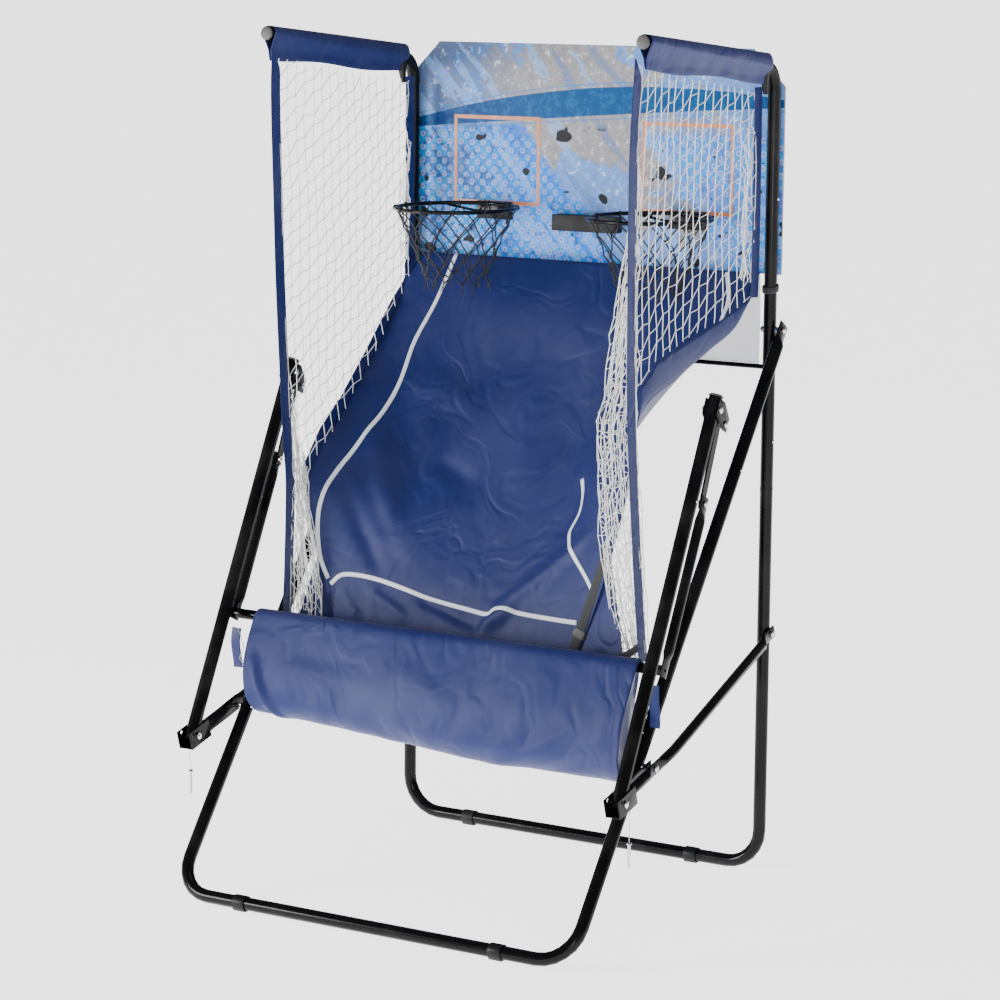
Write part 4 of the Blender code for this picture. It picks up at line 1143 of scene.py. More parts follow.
def twine_net(place, rows, top, low, seed, scatter, radius, zigzag):
    """Upright twines with slanting ones between them, cut off at a top and a lower height.

    Knot (i, k) is at share i / (count - 1) across and at height rows[i, k], moved by a seeded
    scatter and up or down in turn by the zigzag. place(share, height) gives its point.
    """
    count, levels = rows.shape
    share = np.broadcast_to((np.arange(count) / (count - 1))[:, None], rows.shape)
    turn = np.where((np.add.outer(np.arange(count), np.arange(levels))) % 2, 1.0, -1.0)
    random = np.random.default_rng(seed).normal(0, 1, (3, *rows.shape))
    height = rows + turn * zigzag + random[0] * scatter
    share = np.clip(share + random[1] * scatter * 1.4 * (share > 0) * (share < 1), 0, 1)
    high, bottom = top(share), low(share)
    inside = (height < high) & (height > bottom)
    points = place(share, np.clip(height, bottom, high))
    points = points + np.stack([random[2], 0 * random[2], 0 * random[2]], -1) * scatter * 0.7
    pairs = [(points[:, :-1], points[:, 1:], inside[:, :-1] | inside[:, 1:]),
             (points[:-1], points[1:], inside[:-1] & inside[1:])]
    shapes = [strands(start[keep], end[keep], radius) for start, end, keep in pairs]
    shapes.append(knots(points[inside], radius * 2.0))
    return joined(*shapes)


def main_net(side):
    """The flat part of a side net, between its straps, its sleeve and its lower edge."""
    look = bpy.context.scene.hoop_nets
    strap = FRONT_STRAP[side]
    low_line = NET_LOW[side]

    def place(share, height):
        """Between the straps, bellied inwards, and on the left drawn in along the lower edge."""
        front = strap_y(strap, height) + 0.012
        back = strap_y(REAR_STRAP, height) - 0.012
        y = front + (back - front) * share
        belly = np.sin(math.pi * share) * np.sin(math.pi * np.clip((height - 1.0) / 1.0, 0, 1))
        x = NET_X - 0.010 * belly + 0.003 * np.sin(9 * share + 14 * height)
        if side < 0:
            above = height - read_line(low_line, y)
            x = x - 0.009 * np.exp(-((above / 0.05) ** 2))
        return np.stack([side * x, y, height], -1)

    def top(share):
        """Under the sleeve."""
        return 1.990 - 0.075 * share

    def low(share):
        """Along the lower edge."""
        return read_line(low_line, -0.120 + 0.555 * share)

    columns = int(round(NET_DEPTH / look.column)) + 1
    level = NET_HIGHEST - look.row * np.arange(34)
    rows = level[None, :] + look.rise * np.arange(columns)[:, None] - look.rise * columns / 2
    rows = np.concatenate([rows[:, :1] + look.row * np.arange(9, 0, -1), rows], axis=1)
    return joined(twine_net(place, rows, top, low, 5 + side, 0.0016, look.twine / 2,
                            look.row * 0.13), rear_gather(side))


def rear_gather(side):
    """The slack of a side net, bunched in front of its rear strap above the ramp."""
    look = bpy.context.scene.hoop_nets

    def place(share, height):
        """In front of the rear strap, waved front to back by sin(40 z + 5 share)."""
        bunch = 0.006 * np.sin(40 * height + 5 * share)
        y = strap_y(REAR_STRAP, height) - 0.016 - 0.036 * share + bunch
        x = NET_X - 0.003 - 0.012 * np.sin(math.pi * share)
        return np.stack([side * x, y, height], -1)

    def top(share):
        """Where the bunch begins below the arm."""
        return 1.870 - 0.20 * share

    def low(share):
        """Where it ends above the ramp."""
        return 1.462 + 0.012 * share

    columns = 6
    level = 1.90 - 0.030 * np.arange(18)
    rows = level[None, :] + 0.012 * np.arange(columns)[:, None]
    return twine_net(place, rows, top, low, 40 + side, 0.0045, look.twine / 2, 0.006)


def gathered_net(side):
    """The slack front edge of a side net, gathered in folds down the inside of the strap."""
    look = bpy.context.scene.hoop_nets
    strap = FRONT_STRAP[side]
    edge = np.array(RAMP_EDGE[side])
    order = edge[:, 2].argsort()
    if side > 0:
        widths = [(0.60, 0.055), (0.75, 0.100), (0.90, 0.112), (1.15, 0.108), (1.35, 0.082),
                  (1.60, 0.036), (1.80, 0.008)]
        start, slope = 1.84, 0.24
    else:
        widths = [(0.60, 0.085), (0.75, 0.062), (0.88, 0.032), (1.00, 0.020), (1.20, 0.006)]
        start, slope = 1.22, 0.26
    shapes = []
    for layer in range(3):
        def place(share, height):
            """Inwards from the strap by the width here, and back towards the ramp in folds."""
            y = strap_y(strap, height) + 0.016
            reach = read_line(widths, height)
            behind = np.interp(height, edge[order, 2], edge[order, 1])
            depth = np.clip(behind - y, -0.01, 0.09)
            x = NET_X - 0.002 - reach * share
            fold = np.sin(share * 9 + layer * 2.1 + 6 * height) * 0.010
            y = y + depth * share * 0.35 + fold + 0.006 * layer
            return np.stack([side * x, y, height], -1)

        def top(share):
            """Where the slack begins, lower further in."""
            return start - slope * share - 0.04 * layer

        def low(share):
            """Where it ends in the trough."""
            return GATHER_FOOT + 0 * share

        columns = 9 - layer
        level = 1.86 - 0.031 * np.arange(42)
        rows = level[None, :] + 0.012 * np.arange(columns)[:, None] * (1 if layer % 2 else -1)
        shapes.append(twine_net(place, rows, top, low, 20 + layer + side, 0.0040,
                                look.twine / 2, 0.005))
    return joined(*shapes)


def strap_shape(line, x, width, thickness, pointed):
    """A flat strap: a thin rounded oblong carried along its middle line, wide front to back.

    A pointed strap starts as a sliver at its front edge and widens over its first 50 mm.
    """
    count = 90
    points = smooth_line([(x, y, z) for y, z in line], count)
    share = np.ones(count)
    if pointed:
        along = np.linspace(0, 1, count) * line_length(points)
        share = np.clip(0.12 + 0.88 * along / 0.050, 0, 1)
        points = points - np.stack([0 * share, (1 - share) * width / 2, 0 * share], 1)
    half = np.stack([share * 0 + thickness / 2, share * width / 2], 1)
    return swept(points, half, 16, (1, 0, 0), 0.5), points


def dress_nets():
    """The side nets and the straps along their edges."""
    look = bpy.context.scene.hoop_cloth
    for side in (-1, 1):
        x = side * NET_X
        net = make_piece(side_name(side, "net_twine"), main_net(side), net_finish(), smooth=False)
        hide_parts(side_name(side, "side_net"))
        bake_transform(net)
        slack = make_piece(side_name(side, "net_gather"), gathered_net(side), net_finish(),
                           smooth=False)
        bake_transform(slack)
        for name, line, body in (("front_strap", FRONT_STRAP[side], None),
                                 ("rear_strap", REAR_STRAP, "root")):
            shape, points = strap_shape(line, x, look.strap_width, 0.0022, body is None)
            strap = make_piece(side_name(side, name), shape, navy_finish(), uv=shape[0][:, 1:])
            line_length(points)
            if body:
                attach(strap, body)
            else:
                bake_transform(strap)


def dress_bands():
    """The band of cloth between each side net's lower edge and the ramp's edge.

    At share up it is ramp edge (1 - up) + net edge up, bowed outwards by 0.004 sin(pi up).
    """
    look = bpy.context.scene.hoop_cloth
    for side in (-1, 1):
        rows, columns = 61, 9
        share = np.linspace(0.0, 0.60 if side > 0 else 0.74, rows)
        edge = at_share(RAMP_EDGE[side], share)
        low_line = NET_LOW[side]
        high = edge.copy()
        raise_by = 0.004 if side > 0 else 0.024
        high[:, 2] = np.maximum(read_line(low_line, edge[:, 1]) + raise_by, edge[:, 2] + 0.006)
        high[:, 0] = side * (NET_X + 0.0006)
        up = np.linspace(0, 1, columns)[None, :, None]
        points = edge[:, None] * (1 - up) + high[:, None] * up
        points[..., 0] += side * 0.004 * np.sin(math.pi * up[..., 0])
        points = points.reshape(-1, 3)
        band = cloth_piece(side_name(side, "side_band"), points, rows, columns, navy_finish(),
                           look.thickness)
        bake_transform(band)


# ---------------------------------------------------------------- cloth


def ramp_point(across, down):
    """A point of the ramp, across from -1 to 1 and down from 0 to 1.

    middle(down) + |across|^q (edge(down) - middle(down)) in y and z, and straight in x, with
    soft folds that gather towards the foot and the corners.
    """
    across, down = np.broadcast_arrays(np.asarray(across, float), np.asarray(down, float))
    middle = at_share(RAMP_MIDDLE, down)
    edge = np.where(across[..., None] > 0, at_share(RAMP_EDGE[1], down),
                    at_share(RAMP_EDGE[-1], down))
    share = np.abs(across)[..., None]
    point = middle + share**RAMP_CURVE * (edge - middle)
    point[..., 0] = edge[..., 0] * np.abs(across)
    fold = folds(across * RAMP_HALF, down * RAMP_LENGTH, RAMP_FOLDS)
    fold = fold + 0.0035 * np.sin(5 * across + 3 * down + 1.2) * np.sin(math.pi * down)
    fade = (1 - share[..., 0] ** 6) * np.clip(down * 8, 0, 1)
    point[..., 1] -= fold * fade * 0.8
    point[..., 2] += fold * fade * 0.6
    return point


def ramp_normal(across, down):
    """Square to the ramp and towards the player, from small steps across and down."""
    step = 0.002
    over = ramp_point(across + step, down) - ramp_point(across - step, down)
    along = ramp_point(across, down + step) - ramp_point(across, down - step)
    return unit(np.cross(along, over))


# (across, down) along each court line: across from -1 to 1 and down from 0 to 1.
COURT_LINES = {
    "court_line_left": [(-0.762, 0.0), (-0.772, 0.109), (-0.805, 0.220), (-0.802, 0.333),
                        (-0.833, 0.487), (-0.910, 0.676), (-0.960, 0.796), (-0.985, 0.874),
                        (-0.963, 0.906)],
    "court_line_foot": [(-0.955, 0.914), (-0.835, 0.885), (-0.62, 0.873), (-0.34, 0.883),
                        (-0.10, 0.893), (0.097, 0.900), (0.183, 0.888), (0.525, 0.896),
                        (0.875, 0.907)],
    "court_line_right": [(0.400, 0.559), (0.482, 0.645), (0.470, 0.701), (0.600, 0.765),
                         (0.913, 0.851)],
    "court_line_far": [(0.838, 0.004), (0.893, 0.071), (0.897, 0.130), (0.925, 0.186)],
}


def court_line(name, line):
    """A strip sewn along a line of the ramp. Its middle stands 0.6 mm over its edges."""
    look = bpy.context.scene.hoop_cloth
    rows, columns = 90, 5
    route = smooth_line(line, rows)
    normal = ramp_normal(route[:, 0], route[:, 1])
    middle = ramp_point(route[:, 0], route[:, 1]) + normal * (look.thickness / 2 + 0.0006)
    side = unit(np.cross(unit(np.gradient(middle, axis=0)), normal))
    over = np.linspace(-0.5, 0.5, columns)[None, :, None] * look.line_width
    bow = 0.0006 * (1 - (2 * over / look.line_width) ** 2)
    strip = (middle[:, None] + side[:, None] * over + normal[:, None] * bow).reshape(-1, 3)
    trim = cloth_piece(name, strip, rows, columns, line_finish(), 0.0008)
    return trim


def dress_ramp():
    """The ramp's cloth with the court lines sewn on it."""
    look = bpy.context.scene.hoop_cloth
    rows, columns = 121, 97
    down, across = np.meshgrid(np.linspace(0, 1, rows), np.linspace(-1, 1, columns), indexing="ij")
    points = ramp_point(across, down).reshape(-1, 3)
    ramp = cloth_piece("ramp_cloth", points, rows, columns, navy_finish(), look.thickness)
    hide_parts("ramp")
    trims = [court_line(name, line) for name, line in COURT_LINES.items()]
    for piece in (ramp, *trims):
        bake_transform(piece)


TROUGH_SECTION = [(-0.1480, 0.6240), (-0.1555, 0.6500), (-0.1729, 0.6570), (-0.1920, 0.6480),
                  (-0.2100, 0.6150), (-0.2330, 0.5650), (-0.2520, 0.5150), (-0.2600, 0.4650),
                  (-0.2560, 0.4200), (-0.2300, 0.3820), (-0.1850, 0.3680), (-0.1300, 0.3780),
                  (-0.0850, 0.4150), (-0.0450, 0.4700), (-0.0150, 0.5300), (0.0000, 0.5850),
                  (0.0010, 0.6160)]
# (across, round, across, round, width, height) of each fold, in metres over the spread sack.
TROUGH_FOLDS = [(-0.515, 0.10, -0.44, 0.36, 0.014, 0.013),
                (-0.50, 0.25, -0.47, 0.34, 0.008, -0.010),
                (-0.30, 0.14, 0.02, 0.30, 0.040, -0.006), (-0.10, 0.08, 0.10, 0.16, 0.030, 0.004),
                (0.45, 0.13, 0.12, 0.33, 0.022, 0.007), (0.54, 0.18, 0.22, 0.32, 0.020, -0.007),
                (0.52, 0.30, 0.36, 0.34, 0.014, 0.009), (0.50, 0.34, 0.20, 0.36, 0.018, -0.007),
                (0.05, 0.22, 0.30, 0.20, 0.026, 0.004), (-0.40, 0.08, -0.20, 0.10, 0.030, -0.004)]
TROUGH_TOP = 0.640
TROUGH_HALF, TROUGH_LENGTH = 0.54, 0.70


def folds(across, down, lines):
    """A sum of folds: height exp(-(distance from the line / width)^2), fading at its ends."""
    spread = np.asarray(lines, float).T.reshape(6, -1, *[1] * across.ndim)
    first_a, first_d, last_a, last_d, width, height = spread
    step_a, step_d = last_a - first_a, last_d - first_d
    share = ((across - first_a) * step_a + (down - first_d) * step_d) / (step_a**2 + step_d**2)
    held = np.clip(share, 0, 1)
    away = np.hypot(across - first_a - held * step_a, down - first_d - held * step_d)
    fade = 1 - 0.8 * (2 * held - 1) ** 4
    return (height * np.exp(-((away / width) ** 2)) * fade).sum(axis=0)


def trough_point(across, round_share):
    """A point of the sack: its section, less deep to the left, tapering back, and folded."""
    across, round_share = np.broadcast_arrays(np.asarray(across, float),
                                              np.asarray(round_share, float))
    section = smooth_line(TROUGH_SECTION, 401)
    place = round_share * 400
    y, z = (np.interp(place, np.arange(401), column) for column in section.T)
    under = np.clip((TROUGH_TOP - z) / 0.27, 0, 1)
    depth = 0.86 + 0.14 * np.clip((across + 1) / 1.3, 0, 1)
    z = TROUGH_TOP - (TROUGH_TOP - z) * np.where(z < TROUGH_TOP, depth, 1.0)
    front = np.clip((-0.02 - y) / 0.15, 0, 1)
    wide = np.where(across > 0, 0.548 - 0.020 * under, 0.532 - 0.030 * under**2)
    wide = 0.440 + (wide - 0.440) * front
    x = across * wide
    fold = folds(across * TROUGH_HALF, (round_share - 0.10) * TROUGH_LENGTH, TROUGH_FOLDS)
    slack = 0.007 * np.sin(4.2 * across + 0.8) * under
    ripple = 0.0016 * np.sin(31 * across + 9 * under) * under
    out = (slack + ripple + fold) * (0.15 + 0.85 * front)
    y = y - out * front
    z = z - 0.4 * out * (1 - front)
    return np.stack([x, y, z], -1)


def dress_trough():
    """The cloth sack on the gate's bar, with its two closed ends.

    An end runs from the sack's rim in to the straight line between the rim's first and last
    points, and is tucked inwards by 0.018 sin(pi inward) sin(pi along) with a small ripple.
    """
    look = bpy.context.scene.hoop_cloth
    rows, columns = 181, 181
    across = np.linspace(-1, 1, columns)[None, :]
    round_share = np.linspace(0, 1, rows)[:, None]
    points = trough_point(across, round_share).reshape(-1, 3)
    sack = cloth_piece("trough_cloth", points, rows, columns, navy_finish(), look.thickness)
    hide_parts("trough")
    ends = []
    rows_end, columns_end = 81, 25
    for side in (-1, 1):
        rim = trough_point(side * 1.0, np.linspace(0.16, 1, rows_end))
        lid_share = np.linspace(0, 1, rows_end)[:, None]
        lid = rim[:1] * (1 - lid_share) + rim[-1:] * lid_share
        inward = np.linspace(0, 1, columns_end)[None, :, None]
        wall = rim[:, None] * (1 - inward) + lid[:, None] * inward
        tuck = np.sin(math.pi * inward[..., 0]) * np.sin(math.pi * lid_share)
        ripple = 0.004 * np.sin(14 * lid_share + 5 * inward[..., 0])
        wall[..., 0] -= side * (0.018 * tuck + ripple * tuck)
        wall = wall.reshape(-1, 3)
        end = cloth_piece(side_name(side, "trough_end"), wall, rows_end, columns_end,
                          navy_finish(), look.thickness)
        ends.append(end)
    for piece in (sack, *ends):
        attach(piece, "gate")
        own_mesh(piece)


# Where each gusset starts down the ramp's edge, and its corner beside the net.
GUSSETS = {1: (0.80, (0.452, -0.092, GATHER_FOOT)), -1: (0.86, (-0.474, -0.092, GATHER_FOOT))}


def dress_gussets():
    """The cloth corners between the ramp's foot and the nets, and the webbing on the right.

    A corner is inner (1 - over) + outer over, where inner follows the ramp's edge and outer is
    the straight line from its start to the corner, bellied by 0.006 sin(pi over) times a wave.
    """
    look = bpy.context.scene.hoop_cloth
    for side, (start, corner) in GUSSETS.items():
        rows, columns = 41, 21
        share = np.linspace(start, 1.0, rows)
        inner = ramp_point(np.full(rows, side * 0.985), share)
        inner[:, 1] += 0.005
        reach = np.linspace(0, 1, rows)[:, None]
        outer = inner[:1] * (1 - reach) + np.array(corner) * reach
        over = np.linspace(0, 1, columns)[None, :, None]
        points = inner[:, None] * (1 - over) + outer[:, None] * over
        belly = 0.006 * np.sin(math.pi * over[..., 0])
        points[..., 1] += belly * np.sin(5 * reach + 3 * over[..., 0])
        points = points.reshape(-1, 3)
        gusset = cloth_piece(side_name(side, "gusset"), points, rows, columns, navy_finish(),
                             look.thickness)
        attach(gusset, "front_stand")
    dress_webbing()


def dress_webbing():
    """The black webbing down the ramp's lower right edge with its buckle, and the short one."""
    share = np.linspace(0.775, 1.0, 60)
    across = np.full(60, 0.945)
    middle = ramp_point(across, share) + ramp_normal(across, share) * 0.004
    strip = make_piece("foot_webbing", swept(middle, (0.0120, 0.0011), 16, (1, 0, 0), 0.5),
                       webbing_finish())
    along = unit(middle[42] - middle[38])
    path = middle[40] + np.linspace(-0.011, 0.011, 12)[:, None] * along
    rounding = np.linspace(-1, 1, 12)[:, None] ** 4
    half = np.hstack([0.0165 - 0.004 * rounding, 0.0034 - 0.0010 * rounding])
    buckle = make_piece("foot_buckle", swept(path, half, 24, (1, 0, 0), 0.45),
                        grey_plastic_finish())
    ends = np.linspace(0, 1, 24)[:, None]
    short = np.array([0.437, -0.098, 0.634]) * (1 - ends) + np.array([0.497, -0.098, 0.668]) * ends
    short[:, 2] -= 0.004 * np.sin(math.pi * ends[:, 0])
    link = make_piece("net_webbing", swept(short, (0.0011, 0.0085), 16, (0, 1, 0), 0.5),
                      webbing_finish())
    for piece in (strip, buckle, link):
        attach(piece, "front_stand")
    for piece, points, wide in ((strip, middle, 0.024), (link, short, 0.017)):
        line_length(points)


def dress_tabs():
    """The cloth tabs at the ends of the trough's bar, with their tied strings."""
    for side in (-1, 1):
        down = np.linspace(0, 1, 40)
        middle = np.stack([side * (0.590 + 0.002 * np.sin(3 * down)),
                           -0.190 - 0.004 * np.sin(5 * down), 0.606 - 0.100 * down], 1)
        tab = make_piece(side_name(side, "bar_tab"),
                         swept(middle, (0.0140, 0.0014), 16, (1, 0, 0), 0.5), navy_finish())
        line_length(middle)
        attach(tab, "gate")
        route = smooth_line([(side * x, y, z) for x, y, z in (
            (0.584, -0.1930, 0.606), (0.571, -0.198, 0.584), (0.564, -0.199, 0.560),
            (0.572, -0.197, 0.545), (0.576, -0.198, 0.532), (0.566, -0.199, 0.520),
            (0.560, -0.198, 0.506), (0.566, -0.196, 0.492))], 34)
        string = cord_curve(side_name(side, "tab_string"), route, 0.0018, string_finish())
        line_length(route)
        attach(string, "gate")


def sleeve_point(side, along, turn):
    """A point of a sleeve, along from 0 to 1 and round by a turn from the top.

    Over the arm it is a snug ellipse. Below it hangs (0.060 - 0.020 rear) cos(turn) down, its
    half width 0.0186 |sin(turn)|^0.85 falls to a fifth, and a small ripple runs along it.
    """
    high = np.cos(turn)
    rear = 1 - along
    reach = np.where(high > 0, (0.0186 + 0.013 * rear) * high, (0.060 - 0.020 * rear) * high)
    thin = np.where(high > 0, 1.0, 1 - 0.80 * np.clip(-high * 1.6, 0, 1))
    half = 0.0186 * np.abs(np.sin(turn)) ** 0.85 * np.sign(np.sin(turn)) * thin
    low = np.clip(-high, 0, 1)
    half = half + 0.0022 * np.sin(along * 42 + 1.3 * side) * low * np.abs(np.sin(turn))
    distance = 0.044 + (ARM_REACH - 0.050) * along
    distance = distance - 0.012 * low * (along - 0.5) * 2
    reach = reach - 0.0035 * np.sin(along * 9 + side) * low
    base = ARM_CORNER + ARM_DIR * distance[..., None] + ARM_UP * reach[..., None]
    base[..., 0] = side * UPRIGHT_X + half
    return base


def dress_sleeves():
    """The cloth sleeves that hold the side nets on the top arms."""
    look = bpy.context.scene.hoop_cloth
    for side in (-1, 1):
        rows, columns = 73, 48
        along = np.linspace(0, 1, rows)[:, None] * np.ones(columns)
        turn = np.ones(rows)[:, None] * np.arange(columns) * 2 * math.pi / columns
        points = sleeve_point(side, along, turn).reshape(-1, 3)
        sleeve = cloth_piece(side_name(side, "sleeve_cloth"), points, rows, columns, navy_finish(),
                             look.thickness, round_columns=True)
        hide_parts(side_name(side, "sleeve"))
        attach(sleeve, "root")


def dress_rear_film():
    """The see-through film between the board and the thin bar, very slightly slack.

    It is flat across and up, but for a slack of 0.003 sin(7 across + 2 up) sin(pi up).
    """
    low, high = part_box("rear_net")
    rows, columns = 21, 61
    up, across = np.meshgrid(np.linspace(0, 1, rows), np.linspace(-1, 1, columns), indexing="ij")
    slack = 0.003 * np.sin(7 * across + 2 * up) * np.sin(math.pi * up)
    middle = (low.y + high.y) / 2 + (high.y - low.y - 0.002) * (up - 0.5)
    points = np.stack([across * 0.490, middle + slack, low.z + up * (high.z - low.z)], -1)
    points = points.reshape(-1, 3)
    film = cloth_piece("rear_film", points, rows, columns, film_finish(), 0.0006)
    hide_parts("rear_net")
    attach(film, "root")


# ---------------------------------------------------------------- cords


def cord_curve(name, points, diameter, finish):
    """A cord: one open curve through the points, round, closed at its ends."""
    curve = bpy.data.curves.new(name, "CURVE")
    curve.dimensions = "3D"
    spline = curve.splines.new("POLY")
    spline.points.add(len(points) - 1)
    spline.points.foreach_set("co", np.hstack([points, np.ones((len(points), 1))]).ravel())
    curve.bevel_depth = diameter / 2
    curve.bevel_resolution = 4
    curve.use_fill_caps = True
    curve.materials.append(finish)
    made = bpy.data.objects.new(name, curve)
    bpy.context.scene.collection.objects.link(made)
    return made


def dress_strings():
    """The string of each lock pin, and the pin that hangs on it."""
    for side in (-1, 1):
        low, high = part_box(side_name(side, "lanyard"))
        x = side * (min(abs(low.x), abs(high.x)) + 0.0008)
        top = np.array([x, high.y - 0.0008, high.z])
        share = np.linspace(0, 1, 24)
        sway = 0.0015 * np.sin(math.pi * share)
        points = top + np.stack([side * sway, -sway, -0.075 * share], 1)
        string = cord_curve(side_name(side, "pin_string"), points, 0.0016, string_finish())
        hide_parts(side_name(side, "lanyard"))
        pin = cad_copy(side_name(side, "lock_pin"), zinc_finish())
        line_length(points)
        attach(string, "front_stand")


# ---------------------------------------------------------------- stage


def build_stage():
    """The floor, the soft lights, the pale world and the camera."""
    look = bpy.context.scene.hoop_stage
    points = FLOOR_REACH * np.array([(-1.0, -1, 0), (1, -1, 0), (1, 1, 0), (-1, 1, 0)])
    floor = make_piece("floor", (points, [np.array([[0, 1, 2, 3]])]), floor_finish(), smooth=False)
    world = bpy.data.worlds.new("pale_world")
    world.use_nodes = True
    background = world.node_tree.nodes["Background"]
    background.inputs["Color"].default_value = (0.95, 0.96, 1.0, 1.0)
    background.inputs["Strength"].default_value = WORLD_STRENGTH
    bpy.context.scene.world = world
    for name, place, aim, size, power in LIGHTS:
        lamp = bpy.data.lights.new(name, "AREA")
        lamp.shape = "DISK"
        lamp.size = size
        lamp.energy = power
        shown = bpy.data.objects.new(name, lamp)
        shown.location = place
        direction = np.array(aim) - np.array(place)
        flat = math.hypot(direction[0], direction[1])
        shown.rotation_euler = (math.atan2(flat, -direction[2]), 0,
                                math.atan2(direction[1], direction[0]) - math.pi / 2)
        bpy.context.scene.collection.objects.link(shown)
    camera = bpy.data.objects.new("camera", bpy.data.cameras.new("camera"))
    camera.data.lens = look.lens
    camera.location = CAMERA_PLACE
    camera.rotation_euler = CAMERA_TURN
    bpy.context.scene.collection.objects.link(camera)
    bpy.context.scene.camera = camera


# ---------------------------------------------------------------- add-on


class HOOPS_OT_strings(bpy.types.Operator):
    """Hangs each lock pin on its string."""

    bl_idname = "hoops.strings"
    bl_label = "Pin strings"
    bl_options = {"REGISTER", "UNDO"}

    def execute(self, context):
        dress_strings()
        return {"FINISHED"}


class HOOPS_OT_stage(bpy.types.Operator):
    """Makes the floor, the lights and the camera."""

    bl_idname = "hoops.stage"
    bl_label = "Stage"
    bl_options = {"REGISTER", "UNDO"}

    def execute(self, context):
        build_stage()
        return {"FINISHED"}


class HOOPS_OT_frame(bpy.types.Operator):
    """Gives the tubes, brackets, bolts and feet their skins and finishes."""

    bl_idname = "hoops.frame"
    bl_label = "Frame"
    bl_options = {"REGISTER", "UNDO"}

    def execute(self, context):
        dress_frame()
        return {"FINISHED"}


class HOOPS_OT_ends(bpy.types.Operator):
    """Puts the caps, clips and collars on the tubes."""

    bl_idname = "hoops.ends"
    bl_label = "Caps, clips and collars"
    bl_options = {"REGISTER", "UNDO"}

    def execute(self, context):
        dress_ends()
        return {"FINISHED"}


class HOOPS_OT_buttons(bpy.types.Operator):
    """Puts the round catches and joint lines on the tubes."""

    bl_idname = "hoops.buttons"
    bl_label = "Buttons and joints"
    bl_options = {"REGISTER", "UNDO"}

    def execute(self, context):
        dress_buttons()
        return {"FINISHED"}


class HOOPS_OT_board(bpy.types.Operator):
    """Prints the backboard and draws its target squares."""

    bl_idname = "hoops.board"
    bl_label = "Backboard"
    bl_options = {"REGISTER", "UNDO"}

    def execute(self, context):
        dress_board()
        return {"FINISHED"}


class HOOPS_OT_hoops(bpy.types.Operator):
    """Makes both rims and their cord nets."""

    bl_idname = "hoops.hoops"
    bl_label = "Hoops"
    bl_options = {"REGISTER", "UNDO"}

    def execute(self, context):
        dress_hoops()
        return {"FINISHED"}


class HOOPS_OT_sleeves(bpy.types.Operator):
    """Sews the sleeves of the side nets round the top arms."""

    bl_idname = "hoops.sleeves"
    bl_label = "Sleeves"
    bl_options = {"REGISTER", "UNDO"}

    def execute(self, context):
        dress_sleeves()
        return {"FINISHED"}


class HOOPS_OT_nets(bpy.types.Operator):
    """Knots the side nets and their straps."""

    bl_idname = "hoops.nets"
    bl_label = "Side nets"
    bl_options = {"REGISTER", "UNDO"}

    def execute(self, context):
        dress_nets()
        return {"FINISHED"}


class HOOPS_OT_bands(bpy.types.Operator):
    """Joins the side nets to the ramp with cloth."""

    bl_idname = "hoops.bands"
    bl_label = "Side bands"
    bl_options = {"REGISTER", "UNDO"}

    def execute(self, context):
        dress_bands()
        return {"FINISHED"}


class HOOPS_OT_ramp(bpy.types.Operator):
    """Hangs the ramp with its court lines."""

    bl_idname = "hoops.ramp"
    bl_label = "Ramp"
    bl_options = {"REGISTER", "UNDO"}

    def execute(self, context):
        dress_ramp()
        return {"FINISHED"}


class HOOPS_OT_gussets(bpy.types.Operator):
    """Sews the corners beside the ramp's foot."""

    bl_idname = "hoops.gussets"
    bl_label = "Gussets and webbing"
    bl_options = {"REGISTER", "UNDO"}

    def execute(self, context):
        dress_gussets()
        return {"FINISHED"}


class HOOPS_OT_trough(bpy.types.Operator):
    """Hangs the cloth trough on its bar."""

    bl_idname = "hoops.trough"
    bl_label = "Trough"
    bl_options = {"REGISTER", "UNDO"}

    def execute(self, context):
        dress_trough()
        return {"FINISHED"}


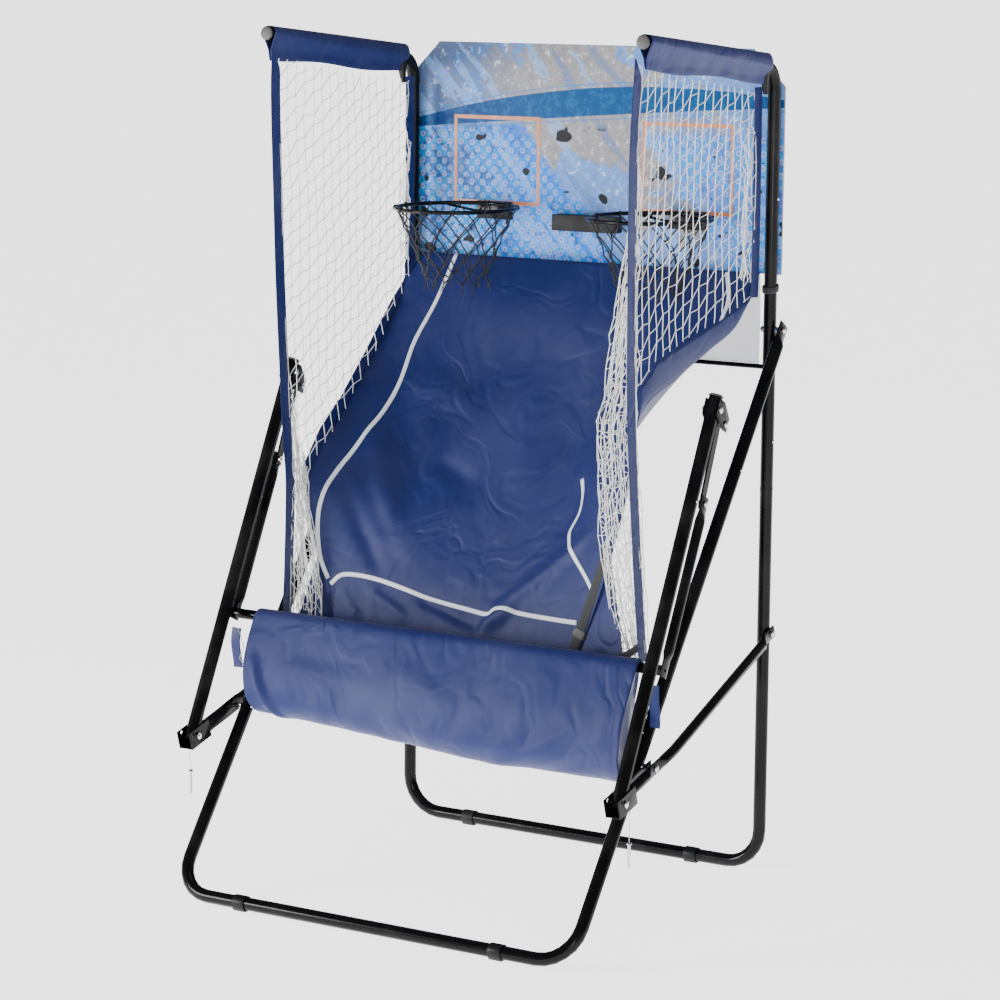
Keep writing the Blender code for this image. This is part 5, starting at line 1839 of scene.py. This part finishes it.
class HOOPS_OT_tabs(bpy.types.Operator):
    """Hangs the tabs and their strings on the trough's bar."""

    bl_idname = "hoops.tabs"
    bl_label = "Bar tabs"
    bl_options = {"REGISTER", "UNDO"}

    def execute(self, context):
        dress_tabs()
        return {"FINISHED"}


class HOOPS_OT_film(bpy.types.Operator):
    """Stretches the film under the board."""

    bl_idname = "hoops.film"
    bl_label = "Rear film"
    bl_options = {"REGISTER", "UNDO"}

    def execute(self, context):
        dress_rear_film()
        return {"FINISHED"}


OPERATORS = (
    HOOPS_OT_strings, HOOPS_OT_stage, HOOPS_OT_frame, HOOPS_OT_ends, HOOPS_OT_buttons,
    HOOPS_OT_board, HOOPS_OT_hoops, HOOPS_OT_sleeves, HOOPS_OT_nets, HOOPS_OT_bands,
    HOOPS_OT_ramp, HOOPS_OT_gussets, HOOPS_OT_trough, HOOPS_OT_tabs, HOOPS_OT_film,
)


class HOOPS_PT_sidebar(bpy.types.Panel):
    """Lists the machine's sizes, colours and making steps."""

    bl_idname = "HOOPS_PT_sidebar"
    bl_label = "Basketball machine"
    bl_space_type = "VIEW_3D"
    bl_region_type = "UI"
    bl_category = "Basketball"

    def draw(self, context):
        for group in PROPERTIES:
            box = self.layout.box()
            held = getattr(context.scene, group)
            for name in held.bl_rna.properties.keys():
                if name not in ("rna_type", "name"):
                    box.prop(held, name)
        for operator in OPERATORS:
            self.layout.operator(operator.bl_idname)


PROPERTIES = {
    "hoop_frame": FrameFinish,
    "hoop_cloth": ClothSizes,
    "hoop_nets": NetSizes,
    "hoop_print": BoardPrint,
    "hoop_stage": StageLook,
}
CLASSES = (*PROPERTIES.values(), *OPERATORS, HOOPS_PT_sidebar)


def register():
    for kind in CLASSES:
        bpy.utils.register_class(kind)
    for name, kind in PROPERTIES.items():
        setattr(bpy.types.Scene, name, PointerProperty(type=kind))


def unregister():
    for name in PROPERTIES:
        delattr(bpy.types.Scene, name)
    for kind in reversed(CLASSES):
        bpy.utils.unregister_class(kind)


def main():
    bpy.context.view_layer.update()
    register()
    for operator in OPERATORS:
        getattr(bpy.ops.hoops, operator.bl_idname.split(".")[1])()


if __name__ == "__main__":
    main()
